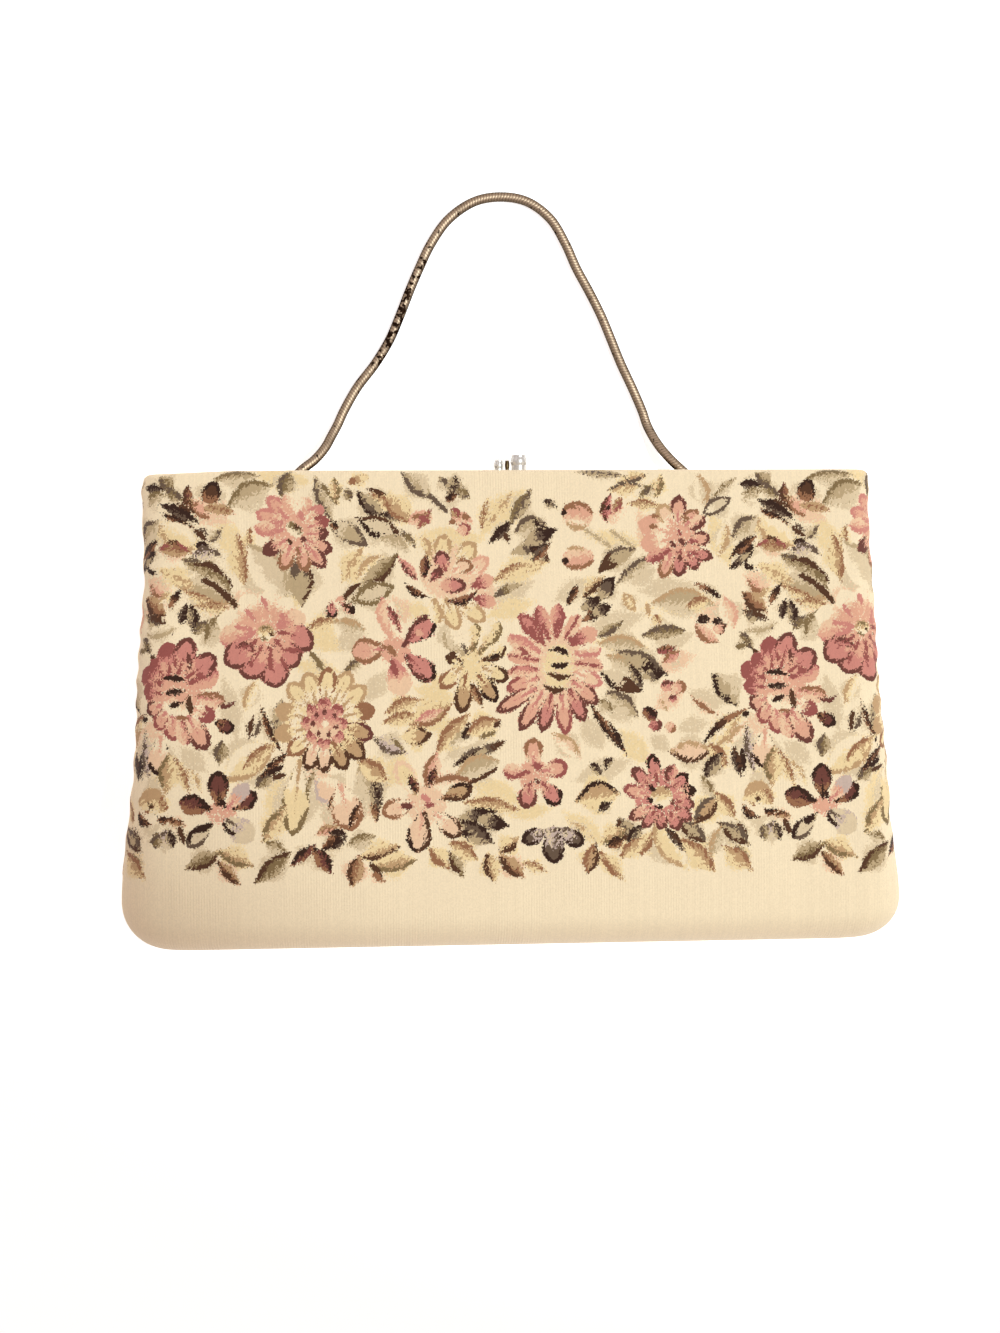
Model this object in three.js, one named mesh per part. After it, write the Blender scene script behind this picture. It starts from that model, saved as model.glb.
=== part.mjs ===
// A slim evening clutch of woven floral cloth, lying on its back, with a kiss clasp and a snake-chain handle.
// Units are millimetres. X runs across the bag, Y from its base towards its mouth, and Z up off the table.
// The origin is on the table, under the middle of the whole outline from base to handle top.

import * as THREE from 'three';
import { mergeVertices } from 'three/addons/utils/BufferGeometryUtils.js';

// Body of the bag
const BODY_LENGTH = 143.7;    // base edge to mouth edge
const CORNERS = { left: 16, right: 14 };  // base corner radii, seen from the front
const BASE_ROUND = 11;        // how far the face rolls down to the base seam
const SHOULDER = 0.35;        // upright share of each side, below its roll
const CROWN = 2;              // how far the front swells in the middle
const WALL = 1.6;             // cloth with its backing
const SEAM_GAP = 0.3;         // between the two panels, all round
const CLEARANCE = 0.3;        // between neighbouring pieces

// Half width, thickness, seam groove and side roll at distances up from the base
const SECTIONS = [
  { up: 0, half: 117.0, thick: 34.0, groove: 0.0, roll: 12.0 },
  { up: 18, half: 117.2, thick: 34.0, groove: 1.2, roll: 12.0 },
  { up: 38, half: 115.0, thick: 32.4, groove: 2.6, roll: 11.5 },
  { up: 74, half: 112.4, thick: 27.4, groove: 3.0, roll: 10.0 },
  { up: 110, half: 110.6, thick: 21.8, groove: 2.0, roll: 9.0 },
  { up: BODY_LENGTH, half: 110.2, thick: 16.4, groove: 0.5, roll: 8.0 },
];

// Soft hollows in the front: centre, half sizes along and across, turn from X, and depth
const HOLLOWS = [
  { across: -88, up: 112, along: 26, wide: 9, turn: 62, depth: 1.3 },
  { across: 90, up: 104, along: 24, wide: 8, turn: -58, depth: 1.2 },
  { across: -96, up: 34, along: 20, wide: 8, turn: -40, depth: 1.4 },
  { across: 97, up: 30, along: 18, wide: 7, turn: 44, depth: 1.2 },
  { across: 6, up: 126, along: 46, wide: 9, turn: 0, depth: 1.0 },
];

// Turned hem round the mouth
const HEM_RADIUS = 2.2;
const HEM_RISE = 10;          // stretch over which the wall thickens into the hem
const HEM_OPEN = 75;          // degrees of the hem's round before its closing flat

// Metal frame inside the mouth
const PLATE = 1.2;
const FRAME_TOP = 142.2;
const FRAME_BAR = 7.5;
const FRAME_LEG = 6;
const FRAME_LENGTH = 32;
const FRAME_HALF = 103;
const FRAME_CORNER = 4;
const FRAME_CORNER_STEPS = 6;
const PIN_SIDES = 16;

// Kiss clasp knobs: place across, frame half (1 front, -1 back), and profile sizes
const KNOBS = [
  { name: 'clasp_knob_back', across: -3.0, side: -1, neck: 1.1, head: 1.25, height: 4.1 },
  { name: 'clasp_knob_front', across: 2.7, side: 1, neck: 1.9, head: 2.3, height: 5.9 },
];
const KNOB_LEAN = 1.6;        // from the mid plane to a knob's axis
const KNOB_FOOT = 0.35;       // share of a knob's height that is neck
const KNOB_SIDES = 16;
const KNOB_ROUND_STEPS = 6;

// Handle chain and its end caps
const CHAIN_DIAMETER = 2.9;
const CHAIN_SIDES = 8;
const CHAIN_STEPS = 80;
const CAP_DIAMETER = 4;
const CAP_LENGTH = 8;
const CAP_LIP = 0.5;
const CAP_SIDES = 14;

// Steps of the cloth walls
const BASE_STEPS = 6;
const FACE_ROWS = 9;
const HEM_ROWS = 2;
const BEAD_ROWS = 4;
const GROOVE_STEPS = 2;
const ROLL_STEPS = 5;
const FACE_STEPS = 9;

const QUARTER_TURN = Math.PI / 2;
const MOUTH_MIDDLE = SECTIONS.at(-1).thick / 2;
const FLOOR_LEVEL = CHAIN_DIAMETER / 2;

// The chain's route: out of the mouth, down to the table and round its loop
const ROUTE = [
  { across: -65.8, up: 141.5, lift: MOUTH_MIDDLE },
  { across: -62.7, up: 144.4, lift: MOUTH_MIDDLE },
  { across: -59.3, up: 147.1, lift: 7.1 },
  { across: -56.1, up: 150.9, lift: 5.1 },
  { across: -54.1, up: 154.6, lift: 3.1 },
  { across: -52.1, up: 158.4, lift: 1.8 },
  { across: -50.4, up: 162.1, lift: FLOOR_LEVEL },
  { across: -46.2, up: 169.4, lift: FLOOR_LEVEL },
  { across: -40.6, up: 176.7, lift: FLOOR_LEVEL },
  { across: -36.1, up: 184.0, lift: FLOOR_LEVEL },
  { across: -32.9, up: 191.3, lift: FLOOR_LEVEL },
  { across: -30.0, up: 198.6, lift: FLOOR_LEVEL },
  { across: -26.8, up: 205.9, lift: FLOOR_LEVEL },
  { across: -23.2, up: 213.2, lift: FLOOR_LEVEL },
  { across: -17.7, up: 220.7, lift: FLOOR_LEVEL },
  { across: -9.4, up: 226.2, lift: FLOOR_LEVEL },
  { across: -1.0, up: 227.5, lift: FLOOR_LEVEL },
  { across: 6.6, up: 226.0, lift: FLOOR_LEVEL },
  { across: 13.5, up: 220.9, lift: FLOOR_LEVEL },
  { across: 18.1, up: 213.4, lift: FLOOR_LEVEL },
  { across: 21.4, up: 206.1, lift: FLOOR_LEVEL },
  { across: 25.4, up: 198.8, lift: FLOOR_LEVEL },
  { across: 29.1, up: 191.5, lift: FLOOR_LEVEL },
  { across: 32.2, up: 184.1, lift: FLOOR_LEVEL },
  { across: 35.2, up: 176.8, lift: FLOOR_LEVEL },
  { across: 38.7, up: 169.4, lift: FLOOR_LEVEL },
  { across: 41.9, up: 162.0, lift: FLOOR_LEVEL },
  { across: 43.1, up: 158.3, lift: 1.8 },
  { across: 44.8, up: 154.5, lift: 3.1 },
  { across: 47.0, up: 150.7, lift: 5.1 },
  { across: 49.9, up: 147.0, lift: 7.1 },
  { across: 53.1, up: 143.8, lift: MOUTH_MIDDLE },
  { across: 56.3, up: 141.0, lift: MOUTH_MIDDLE },
];
const HANDLE_TOP = Math.max(...ROUTE.map((point) => point.up)) + CHAIN_DIAMETER / 2;
const ORIGIN_UP = HANDLE_TOP / 2;

// Materials
const tapestry = new THREE.MeshStandardMaterial({ color: 0xd9b98f, roughness: 0.9, metalness: 0 });
const frameBrass = new THREE.MeshStandardMaterial({ color: 0xb08d57, roughness: 0.4, metalness: 1 });
const paleMetal = new THREE.MeshStandardMaterial({ color: 0xcfc4ad, roughness: 0.25, metalness: 1 });
const agedBrass = new THREE.MeshStandardMaterial({ color: 0x97856f, roughness: 0.45, metalness: 1 });

// Smooth curves through the section table
const SECTION_SIZES = ['half', 'thick', 'groove', 'roll'];
const sectionCurves = new THREE.CubicInterpolant(
  SECTIONS.map((row) => row.up),
  SECTIONS.flatMap((row) => SECTION_SIZES.map((size) => row[size])),
  SECTION_SIZES.length,
);

function sectionAt(up) {
  const [half, thick, groove, roll] = sectionCurves.evaluate(up);
  return { half, thick, groove, roll };
}

// Half width of a surface that lies inset from the outside, with the round base corner taken off
function edgeAt(up, inset, half, corner) {
  if (up >= corner) return half - inset;
  const below = corner - up;
  const reach = corner - inset;
  return half - corner + Math.sqrt(Math.max(0, reach * reach - below * below));
}

// Height of that surface over the seam, which rolls down to nothing at the base
function riseAt(up, inset, thick) {
  const full = thick / 2 - SEAM_GAP / 2 - inset;
  if (up >= BASE_ROUND) return full;
  const share = (BASE_ROUND - up) / (BASE_ROUND - inset);
  return full * Math.sqrt(Math.max(0, 1 - share * share));
}

// One half of a cross-section, from the seam over the rolled side to the middle of the face
function halfSection(up, inset, corner) {
  const { half, thick, groove, roll } = sectionAt(up);
  const edge = edgeAt(up, inset, half, corner);
  const rise = riseAt(up, inset, thick);
  const shoulder = SHOULDER * rise;
  const dip = (groove * 2 * rise) / thick;
  const bend = roll - inset;
  const face = edge - bend;
  const points = [];
  for (let i = 0; i < GROOVE_STEPS; i += 1) {
    const share = i / GROOVE_STEPS;
    points.push({ across: edge - dip * (1 - share) ** 2, rise: shoulder * share });
  }
  for (let i = 0; i < ROLL_STEPS; i += 1) {
    const angle = (QUARTER_TURN * i) / ROLL_STEPS;
    const height = shoulder + (rise - shoulder) * Math.sin(angle);
    points.push({ across: face + bend * Math.cos(angle), rise: height });
  }
  for (let i = 0; i <= FACE_STEPS; i += 1) {
    points.push({ across: face * (1 - i / FACE_STEPS), rise });
  }
  return points;
}

// How far the front stands over its plain section: the crown, less the soft hollows
function swellAt(across, up) {
  const { half, roll, thick } = sectionAt(up);
  const flat = half - roll;
  const share = Math.min(1, Math.abs(across) / flat);
  const ends = Math.sin((Math.PI * up) / BODY_LENGTH);
  let swell = CROWN * Math.cos(QUARTER_TURN * share) ** 2 * ends;
  for (const hollow of HOLLOWS) {
    const turn = THREE.MathUtils.degToRad(hollow.turn);
    const dx = across - hollow.across;
    const dy = up - hollow.up;
    const along = (dx * Math.cos(turn) + dy * Math.sin(turn)) / hollow.along;
    const wide = (dy * Math.cos(turn) - dx * Math.sin(turn)) / hollow.wide;
    swell -= hollow.depth * ends * Math.exp(-along * along - wide * wide);
  }
  return { swell, full: thick / 2 };
}

// The rows of a wall, from the base seam to the hem, as places on its outer and inner surfaces
function wallRows() {
  const rows = [];
  for (let i = 0; i < BASE_STEPS; i += 1) {
    const drop = 1 - Math.cos((QUARTER_TURN * i) / BASE_STEPS);
    rows.push({
      outer: { up: BASE_ROUND * drop, inset: 0 },
      inner: { up: WALL + (BASE_ROUND - WALL) * drop, inset: WALL },
    });
  }
  const hemStart = BODY_LENGTH - HEM_RISE;
  for (let i = 0; i < FACE_ROWS; i += 1) {
    const up = THREE.MathUtils.lerp(BASE_ROUND, hemStart, i / FACE_ROWS);
    rows.push({ outer: { up, inset: 0 }, inner: { up, inset: WALL } });
  }
  for (let i = 0; i < HEM_ROWS; i += 1) {
    const share = i / HEM_ROWS;
    const up = hemStart + (HEM_RISE - HEM_RADIUS) * share;
    const inset = THREE.MathUtils.lerp(WALL, 2 * HEM_RADIUS, THREE.MathUtils.smoothstep(share, 0, 1));
    rows.push({ outer: { up, inset: 0 }, inner: { up, inset } });
  }
  for (let i = 0; i <= BEAD_ROWS; i += 1) {
    const angle = THREE.MathUtils.degToRad((HEM_OPEN * i) / BEAD_ROWS);
    const up = BODY_LENGTH - HEM_RADIUS * (1 - Math.sin(angle));
    rows.push({
      outer: { up, inset: HEM_RADIUS * (1 - Math.cos(angle)) },
      inner: { up, inset: HEM_RADIUS * (1 + Math.cos(angle)) },
    });
  }
  return rows;
}

// A row of points across the whole panel; side is 1 for the front and -1 for the back
function wallRow({ up, inset }, side) {
  const seam = sectionAt(up).thick / 2;
  const place = (across, rise) => {
    let height = rise;
    if (side > 0) {
      const { swell, full } = swellAt(across, up);
      height += swell * (rise / full) ** 2;
    }
    return new THREE.Vector3(across, up - ORIGIN_UP, seam + side * (SEAM_GAP / 2 + height));
  };
  const left = halfSection(up, inset, CORNERS.left).slice(0, -1);
  const right = halfSection(up, inset, CORNERS.right).reverse();
  return [
    ...left.map((point) => place(-point.across, point.rise)),
    ...right.map((point) => place(point.across, point.rise)),
  ];
}

// A closed wall from its outer and inner grids, joined by a rim along all four borders
function wallGeometry(side) {
  const rows = wallRows();
  const outer = rows.map((row) => wallRow(row.outer, side));
  const inner = rows.map((row) => wallRow(row.inner, side));
  const count = outer[0].length;
  const last = rows.length - 1;
  const triangles = [];
  const quad = (a, b, c, d) => {
    const corners = side > 0 ? [a, b, c, a, c, d] : [a, c, b, a, d, c];
    triangles.push(...corners);
  };
  for (let r = 0; r < last; r += 1) {
    for (let c = 0; c < count - 1; c += 1) {
      quad(outer[r][c], outer[r][c + 1], outer[r + 1][c + 1], outer[r + 1][c]);
      quad(inner[r][c], inner[r + 1][c], inner[r + 1][c + 1], inner[r][c + 1]);
    }
    quad(outer[r][0], outer[r + 1][0], inner[r + 1][0], inner[r][0]);
    quad(outer[r][count - 1], inner[r][count - 1], inner[r + 1][count - 1], outer[r + 1][count - 1]);
  }
  for (let c = 0; c < count - 1; c += 1) {
    quad(outer[0][c], inner[0][c], inner[0][c + 1], outer[0][c + 1]);
    quad(outer[last][c], outer[last][c + 1], inner[last][c + 1], inner[last][c]);
  }
  const merged = mergeVertices(new THREE.BufferGeometry().setFromPoints(triangles));
  const kept = [];
  const index = merged.getIndex();
  for (let i = 0; i < index.count; i += 3) {
    const corners = [index.getX(i), index.getX(i + 1), index.getX(i + 2)];
    if (new Set(corners).size === corners.length) kept.push(...corners);
  }
  merged.setIndex(kept);
  merged.computeVertexNormals();
  return merged;
}

// A frame half: a flat bar under the mouth edge with a leg down each side
function frameGeometry() {
  const top = FRAME_TOP - ORIGIN_UP;
  const foot = top - FRAME_LENGTH;
  const under = top - FRAME_BAR;
  const inside = FRAME_HALF - FRAME_LEG;
  const outline = new THREE.Shape();
  outline.moveTo(-FRAME_HALF, foot);
  outline.lineTo(-inside, foot);
  outline.lineTo(-inside, under);
  outline.lineTo(inside, under);
  outline.lineTo(inside, foot);
  outline.lineTo(FRAME_HALF, foot);
  outline.absarc(FRAME_HALF - FRAME_CORNER, top - FRAME_CORNER, FRAME_CORNER, 0, QUARTER_TURN);
  outline.absarc(FRAME_CORNER - FRAME_HALF, top - FRAME_CORNER, FRAME_CORNER, QUARTER_TURN, Math.PI);
  outline.closePath();
  return new THREE.ExtrudeGeometry(outline, {
    depth: PLATE,
    bevelEnabled: false,
    curveSegments: FRAME_CORNER_STEPS,
  });
}

// A clasp knob, turned round its own axis: a straight neck and a rounded head
function knobGeometry({ neck, head, height }) {
  const under = height * KNOB_FOOT;
  const crownHalf = (height - under) / 2;
  const profile = [new THREE.Vector2(0, 0), new THREE.Vector2(neck, 0), new THREE.Vector2(neck, under)];
  for (let i = 1; i < KNOB_ROUND_STEPS; i += 1) {
    const angle = (Math.PI * i) / KNOB_ROUND_STEPS - QUARTER_TURN;
    const reach = Math.max(neck, head * Math.sqrt(Math.cos(angle)));
    profile.push(new THREE.Vector2(reach, under + crownHalf * (1 + Math.sin(angle))));
  }
  profile.push(new THREE.Vector2(0, height));
  return new THREE.LatheGeometry(profile, KNOB_SIDES);
}

// The chain as one round tube along its route
function chainGeometry(route) {
  const section = new THREE.Shape();
  for (let i = 0; i < CHAIN_SIDES; i += 1) {
    const angle = (2 * Math.PI * i) / CHAIN_SIDES;
    const x = (CHAIN_DIAMETER / 2) * Math.cos(angle);
    const y = (CHAIN_DIAMETER / 2) * Math.sin(angle);
    if (i === 0) section.moveTo(x, y);
    else section.lineTo(x, y);
  }
  section.closePath();
  return new THREE.ExtrudeGeometry(section, { steps: CHAIN_STEPS, extrudePath: route, bevelEnabled: false });
}

// A turned cap on a chain end, with a raised lip towards the chain
function capGeometry() {
  const radius = CAP_DIAMETER / 2;
  const profile = [
    new THREE.Vector2(0, 0),
    new THREE.Vector2(radius, 0),
    new THREE.Vector2(radius, 2 * CAP_LIP),
    new THREE.Vector2(radius - CAP_LIP, 3 * CAP_LIP),
    new THREE.Vector2(radius - CAP_LIP, CAP_LENGTH - 2 * CAP_LIP),
    new THREE.Vector2(radius - 2 * CAP_LIP, CAP_LENGTH),
    new THREE.Vector2(0, CAP_LENGTH),
  ];
  return new THREE.LatheGeometry(profile, CAP_SIDES);
}

const clutch = new THREE.Group();

function addPiece(name, geometry, material) {
  const piece = new THREE.Mesh(geometry, material);
  piece.name = name;
  clutch.add(piece);
  return piece;
}

addPiece('front_panel', wallGeometry(1), tapestry);
addPiece('back_panel', wallGeometry(-1), tapestry);

// The frame halves lie against the hems, with a slit between them
const hemInside = MOUTH_MIDDLE - 2 * HEM_RADIUS;
const slitHalf = hemInside - CLEARANCE - PLATE;
addPiece('frame_front', frameGeometry(), frameBrass).position.z = MOUTH_MIDDLE + slitHalf;
addPiece('frame_back', frameGeometry(), frameBrass).position.z = MOUTH_MIDDLE - slitHalf - PLATE;

// The hinge pins lie in the slit at the feet of the legs
const pinRadius = slitHalf - CLEARANCE;
for (const [name, side] of [['hinge_pin_left', -1], ['hinge_pin_right', 1]]) {
  const rod = new THREE.CylinderGeometry(pinRadius, pinRadius, FRAME_LEG, PIN_SIDES);
  const pin = addPiece(name, rod, frameBrass);
  pin.rotation.z = QUARTER_TURN;
  const up = FRAME_TOP - FRAME_LENGTH + pinRadius;
  pin.position.set(side * (FRAME_HALF - FRAME_LEG / 2), up - ORIGIN_UP, MOUTH_MIDDLE);
}

// The clasp knobs stand on the top edges of their frame halves
for (const knob of KNOBS) {
  const piece = addPiece(knob.name, knobGeometry(knob), paleMetal);
  const up = FRAME_TOP + CLEARANCE;
  piece.position.set(knob.across, up - ORIGIN_UP, MOUTH_MIDDLE + knob.side * KNOB_LEAN);
}

// The handle chain, with a cap in line with each of its ends
const route = new THREE.CatmullRomCurve3(
  ROUTE.map((point) => new THREE.Vector3(point.across, point.up - ORIGIN_UP, point.lift)),
);
addPiece('handle_chain', chainGeometry(route), agedBrass);
const upright = new THREE.Vector3(0, 1, 0);
for (const [name, end, outward] of [['handle_ferrule_left', 0, -1], ['handle_ferrule_right', 1, 1]]) {
  const away = route.getTangentAt(end).multiplyScalar(outward);
  const cap = addPiece(name, capGeometry(), agedBrass);
  cap.quaternion.setFromUnitVectors(upright, away);
  cap.position.copy(route.getPointAt(end)).addScaledVector(away, CLEARANCE);
}

export default clutch;
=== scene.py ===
"""Looks of a slim evening clutch of floral tapestry, lying on its back with its snake-chain handle laid out.

Sizes are in millimetres until a mesh is made. X runs across the bag, Y from its base towards its mouth, Z up
off the table. Distances called up are measured along the bag from its base edge.
"""

import math

import bpy
import numpy as np
from mathutils import Matrix, Vector


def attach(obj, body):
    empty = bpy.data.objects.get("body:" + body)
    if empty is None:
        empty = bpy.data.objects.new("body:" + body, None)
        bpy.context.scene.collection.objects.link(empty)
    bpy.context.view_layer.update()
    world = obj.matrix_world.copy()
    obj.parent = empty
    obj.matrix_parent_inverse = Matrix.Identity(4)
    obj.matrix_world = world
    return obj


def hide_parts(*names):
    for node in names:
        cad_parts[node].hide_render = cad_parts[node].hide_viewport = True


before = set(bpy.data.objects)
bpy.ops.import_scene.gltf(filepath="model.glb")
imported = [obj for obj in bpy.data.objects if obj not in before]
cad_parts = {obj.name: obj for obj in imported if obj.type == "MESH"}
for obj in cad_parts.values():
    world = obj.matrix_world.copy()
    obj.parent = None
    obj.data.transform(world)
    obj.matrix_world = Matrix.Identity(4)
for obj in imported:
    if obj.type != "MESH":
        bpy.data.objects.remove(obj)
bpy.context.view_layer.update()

MM = 0.001
QUARTER_TURN = math.pi / 2
TINY = 1e-9

# Body of the bag, as in the part's source
BODY_LENGTH = 143.7
CORNER_LEFT = 16.0
CORNER_RIGHT = 14.0
BASE_ROUND = 11.0
SHOULDER = 0.35
CROWN = 2.0
WALL = 1.6
SEAM_GAP = 0.3
HEM_RADIUS = 2.2
HEM_RISE = 10.0
CHAIN_DIAMETER = 2.9
FLOOR_LEVEL = CHAIN_DIAMETER / 2
ROUTE_TOP = 227.5
HANDLE_TOP = ROUTE_TOP + CHAIN_DIAMETER / 2
ORIGIN_UP = HANDLE_TOP / 2

SECTIONS = np.array([
    # up, half, thick, groove, roll
    (0.0, 117.0, 34.0, 0.0, 12.0),
    (18.0, 117.2, 34.0, 1.2, 12.0),
    (38.0, 115.0, 32.4, 2.6, 11.5),
    (74.0, 112.4, 27.4, 3.0, 10.0),
    (110.0, 110.6, 21.8, 2.0, 9.0),
    (BODY_LENGTH, 110.2, 16.4, 0.5, 8.0),
])
MOUTH_MIDDLE = SECTIONS[-1, 2] / 2

HOLLOWS = (
    # across, up, along, wide, turn, depth
    (-88.0, 112.0, 26.0, 9.0, 62.0, 1.3),
    (90.0, 104.0, 24.0, 8.0, -58.0, 1.2),
    (-96.0, 34.0, 20.0, 8.0, -40.0, 1.4),
    (97.0, 30.0, 18.0, 7.0, 44.0, 1.2),
    (6.0, 126.0, 46.0, 9.0, 0.0, 1.0),
)

# Places across a panel, counted from its middle: the side of its face, the foot of its roll, and its seam
FACE_SIDE = 1
ROLL_FOOT = 2
SEAM = 3

# Slack of the cloth: a drooping left end of the mouth, puckers beside the side seams, and faint ripples.
# Pairs are where an effect starts and where it is full.
DROOP = 1.0
DROOP_START = 78.0
DROOP_REACH = 32.0
PUCKER = 0.22
PUCKER_PITCH = 9.0
PUCKER_DRIFT = 0.35
PUCKER_DRIFT_LENGTH = 13.0
PUCKER_ACROSS = (98.0, 112.0)
PUCKER_UP = (20.0, 40.0)
RIPPLES = (
    # height, wavelength, turn in degrees
    (0.20, 47.0, 72.0),
    (0.14, 31.0, -35.0),
    (0.10, 19.0, 15.0),
)
RIPPLE_UP = (2.0, 30.0)
MOTIF_RELIEF = 0.12
MOTIF_EDGE = 0.4
RELIEF_FADE = 6.0
SEED = 12

# Steps of the cloth surfaces
GROOVE_STEPS = 5
ROLL_STEPS = 17
FACE_STEPS = 350
BASE_STEPS = 14
BAND_STEPS = 8
FIELD_STEPS = 202
BEAD_STEPS = 12
BAND_TOP = 20.0
INNER_PLACES = 36
INNER_ROWS = 30
INNER_EASE = 0.3
INNER_TOP = 1.5 * HEM_RADIUS
WELD = 0.001

# Panels of the bag, front and back
PANELS = (
    # name, node, half of the frame, side, start of the weave
    ("front_cloth", "front_panel", "frame_front", 1, 0.0),
    ("back_cloth", "back_panel", "frame_back", -1, 61.0),
)

# Threads of the tapestry, as display colours; the first is the ground
THREADS = {
    "ground": (245, 225, 189),
    "straw": (245, 218, 165),
    "peach": (243, 204, 166),
    "salmon": (231, 173, 143),
    "rose": (212, 138, 123),
    "wine": (158, 86, 78),
    "plum": (112, 63, 52),
    "tan": (198, 160, 116),
    "rust": (156, 108, 75),
    "umber": (87, 54, 32),
    "ink": (54, 29, 15),
    "olive": (135, 111, 73),
    "sage": (194, 169, 129),
    "pale": (228, 205, 167),
    "lilac": (206, 182, 167),
    "slate": (106, 85, 67),
}
# Each layer holds the fields of four threads
THREAD_LAYERS = ("threads_a", "threads_b", "threads_c", "threads_d")

# A lighter and a darker thread to model each thread with
TONES = {
    "ground": ("ground", "pale"),
    "straw": ("ground", "tan"),
    "peach": ("ground", "salmon"),
    "salmon": ("peach", "rose"),
    "rose": ("salmon", "wine"),
    "wine": ("rose", "plum"),
    "plum": ("rust", "ink"),
    "tan": ("straw", "rust"),
    "rust": ("tan", "umber"),
    "umber": ("rust", "ink"),
    "ink": ("slate", "ink"),
    "olive": ("sage", "slate"),
    "sage": ("pale", "olive"),
    "pale": ("ground", "sage"),
    "lilac": ("pale", "slate"),
    "slate": ("sage", "ink"),
}
# Where the lighter thread lies in a shape whose edge thread lies at each place
LIT_SIDE = {
    "left": "half_right",
    "right": "half_left",
    "tip": "base",
    "base": "tip",
    "rim": "base",
    "ring": "base",
    "vein": "half_right",
}
# A pale thread that surrounds the leaves of each thread
TINT = {"olive": "pale", "sage": "pale", "slate": "pale", "tan": "straw", "rust": "peach", "straw": "pale"}

# Forms of the charted shapes
REPEAT = 179.5
SIZE_COLUMNS = 6
TINT_WIDTH = 2.1
LEAF_WIDTH = 1.3
LEAF_LENGTH = 1.25
LEAF_TAPER = 1.1
PETAL_LEAN = 1.5
PETAL_ROUND = 0.62
BAR_BLUNT = 8
MODELLED_WIDTH = 2.0
FIELD_REACH = 1.5
WASH_SLOPE = 0.3
WASH_FULL = 0.26
OUTLINE_SLOPE = 0.95
OUTLINE_FEATHER = 0.2

# Parts of a shape that another thread takes, and the hatching of their borders
EDGE_SLOPE = 0.6
EDGE_LINE = 1.5
EDGE_SHARE = 0.85
HALF_SLOPE = 0.38
HALF_SHARE = 0.25
TIP_SHARE = 0.55
BASE_SHARE = 0.4
VEIN = 0.45
STREAK = 0.8
STREAK_REACH = 0.6
RIM = 1.55
RIM_START = 0.25
RIM_FULL = 0.95
RIM_FEATHER = 1.1
RING = 1.1
HATCH = 1.15
HATCH_SWAY = 0.35
HATCH_SWING = 1.9
FEATHER = 0.42

# Weave of the tapestry
WARP = 0.34
WEFT = 0.40
RIB = 0.8
RIB_HEIGHT = 0.7
RIB_CLOUD = (0.35, 0.65)
RAGGED = 0.42
STITCH_TONE = 0.08
STITCH_HEIGHT = 0.8
STREAK_TONE = 0.04
CLOUD_TONE = 0.06
CLOUD_SCALE = 60.0
CLOUD_DETAIL = 3.0
BARE_EDGE = (-0.2, 0.2)
FLOAT_SLANT = 2.0
WEAVE_DEPTH = 0.08
WEAVE_STRENGTH = 0.6
FLOAT_ROUGHNESS = 0.8
BARE_ROUGHER = 0.1
TAPESTRY_GLOSS = {"Specular IOR Level": 0.25, "Sheen Weight": 0.12, "Sheen Roughness": 0.5}

# Lining
LINING = (238, 222, 196)
LINING_SHADE = (222, 203, 174)
LINING_GLOSS = {"Specular IOR Level": 0.3, "Sheen Weight": 0.1}
LINING_SCALE = 2400.0
LINING_DETAIL = 1.0
LINING_STRETCH = (1.0, 0.2, 1.0)
LINING_STRENGTH = 0.4
LINING_ROUGHNESS = 0.6
LINING_ROUGHER = 0.2

# Metals
METALS = {
    # name: metal, tarnish, amount of tarnish, polish, metallic
    "Satin brass": ((196, 164, 112), (120, 92, 58), 0.4, 0.32, 1.0),
    "Pale gilt": ((226, 223, 218), (160, 154, 144), 0.4, 0.3, 0.55),
    # Brass darkened as painted shade, for the stem in the shadow between the knobs
    "Brass in painted shade": ((96, 78, 52), (58, 44, 28), 0.6, 0.4, 1.0),
    "Aged brass": ((178, 154, 126), (78, 62, 48), 0.5, 0.3, 1.0),
}
FINISHES = {
    "frame_front": "Satin brass",
    "frame_back": "Satin brass",
    "hinge_pin_left": "Satin brass",
    "hinge_pin_right": "Satin brass",
    "handle_ferrule_left": "Aged brass",
    "handle_ferrule_right": "Aged brass",
}
METAL_EDGE = (120, 104, 88)
PATCH_SCALE = 160.0
PATCH_DETAIL = 4.0
PATCH_EDGE = (0.42, 0.72)
SPECK_SCALE = 900.0
SPECK_EDGE = (0.58, 0.74)
TARNISH_DULL = 0.35
SCRATCH_SCALE = 5000.0
SCRATCH_STRETCH = (1.0, 0.1, 1.0)
SCRATCH_DEPTH = 0.02
SCRATCH_STRENGTH = 0.15

# Snake chain
LINK = 0.9
LINK_ROWS = 8
LINK_DEPTH = 0.045
LINK_ROUND = 0.7
LINK_WAVE = 0.3
CHAIN_SIDES = 20
ROUTE_STEPS = 24
CHAIN_GILT = (204, 180, 153)
CHAIN_TARNISH = (110, 90, 72)
CHAIN_SPOT = (42, 27, 18)
CHAIN_POLISH = 0.52
# Painted shade: the gilt is darkened in the gaps between links and down the flanks of the chain
PAINTED_GAP_SHADE = 0.5
FLANK_REACH = (0.35, 0.95)
PAINTED_FLANK_SHADE = 0.25
SPOT_SCALE = 640.0
SPOT_EDGE = (0.63, 0.72)
SPOT_MORE = 0.2
WORN_FROM = (28.0, 60.0)
WORN_TO = (62.0, 90.0)
WORN_MORE = 0.6
WORN_LEAST = 0.25

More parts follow.
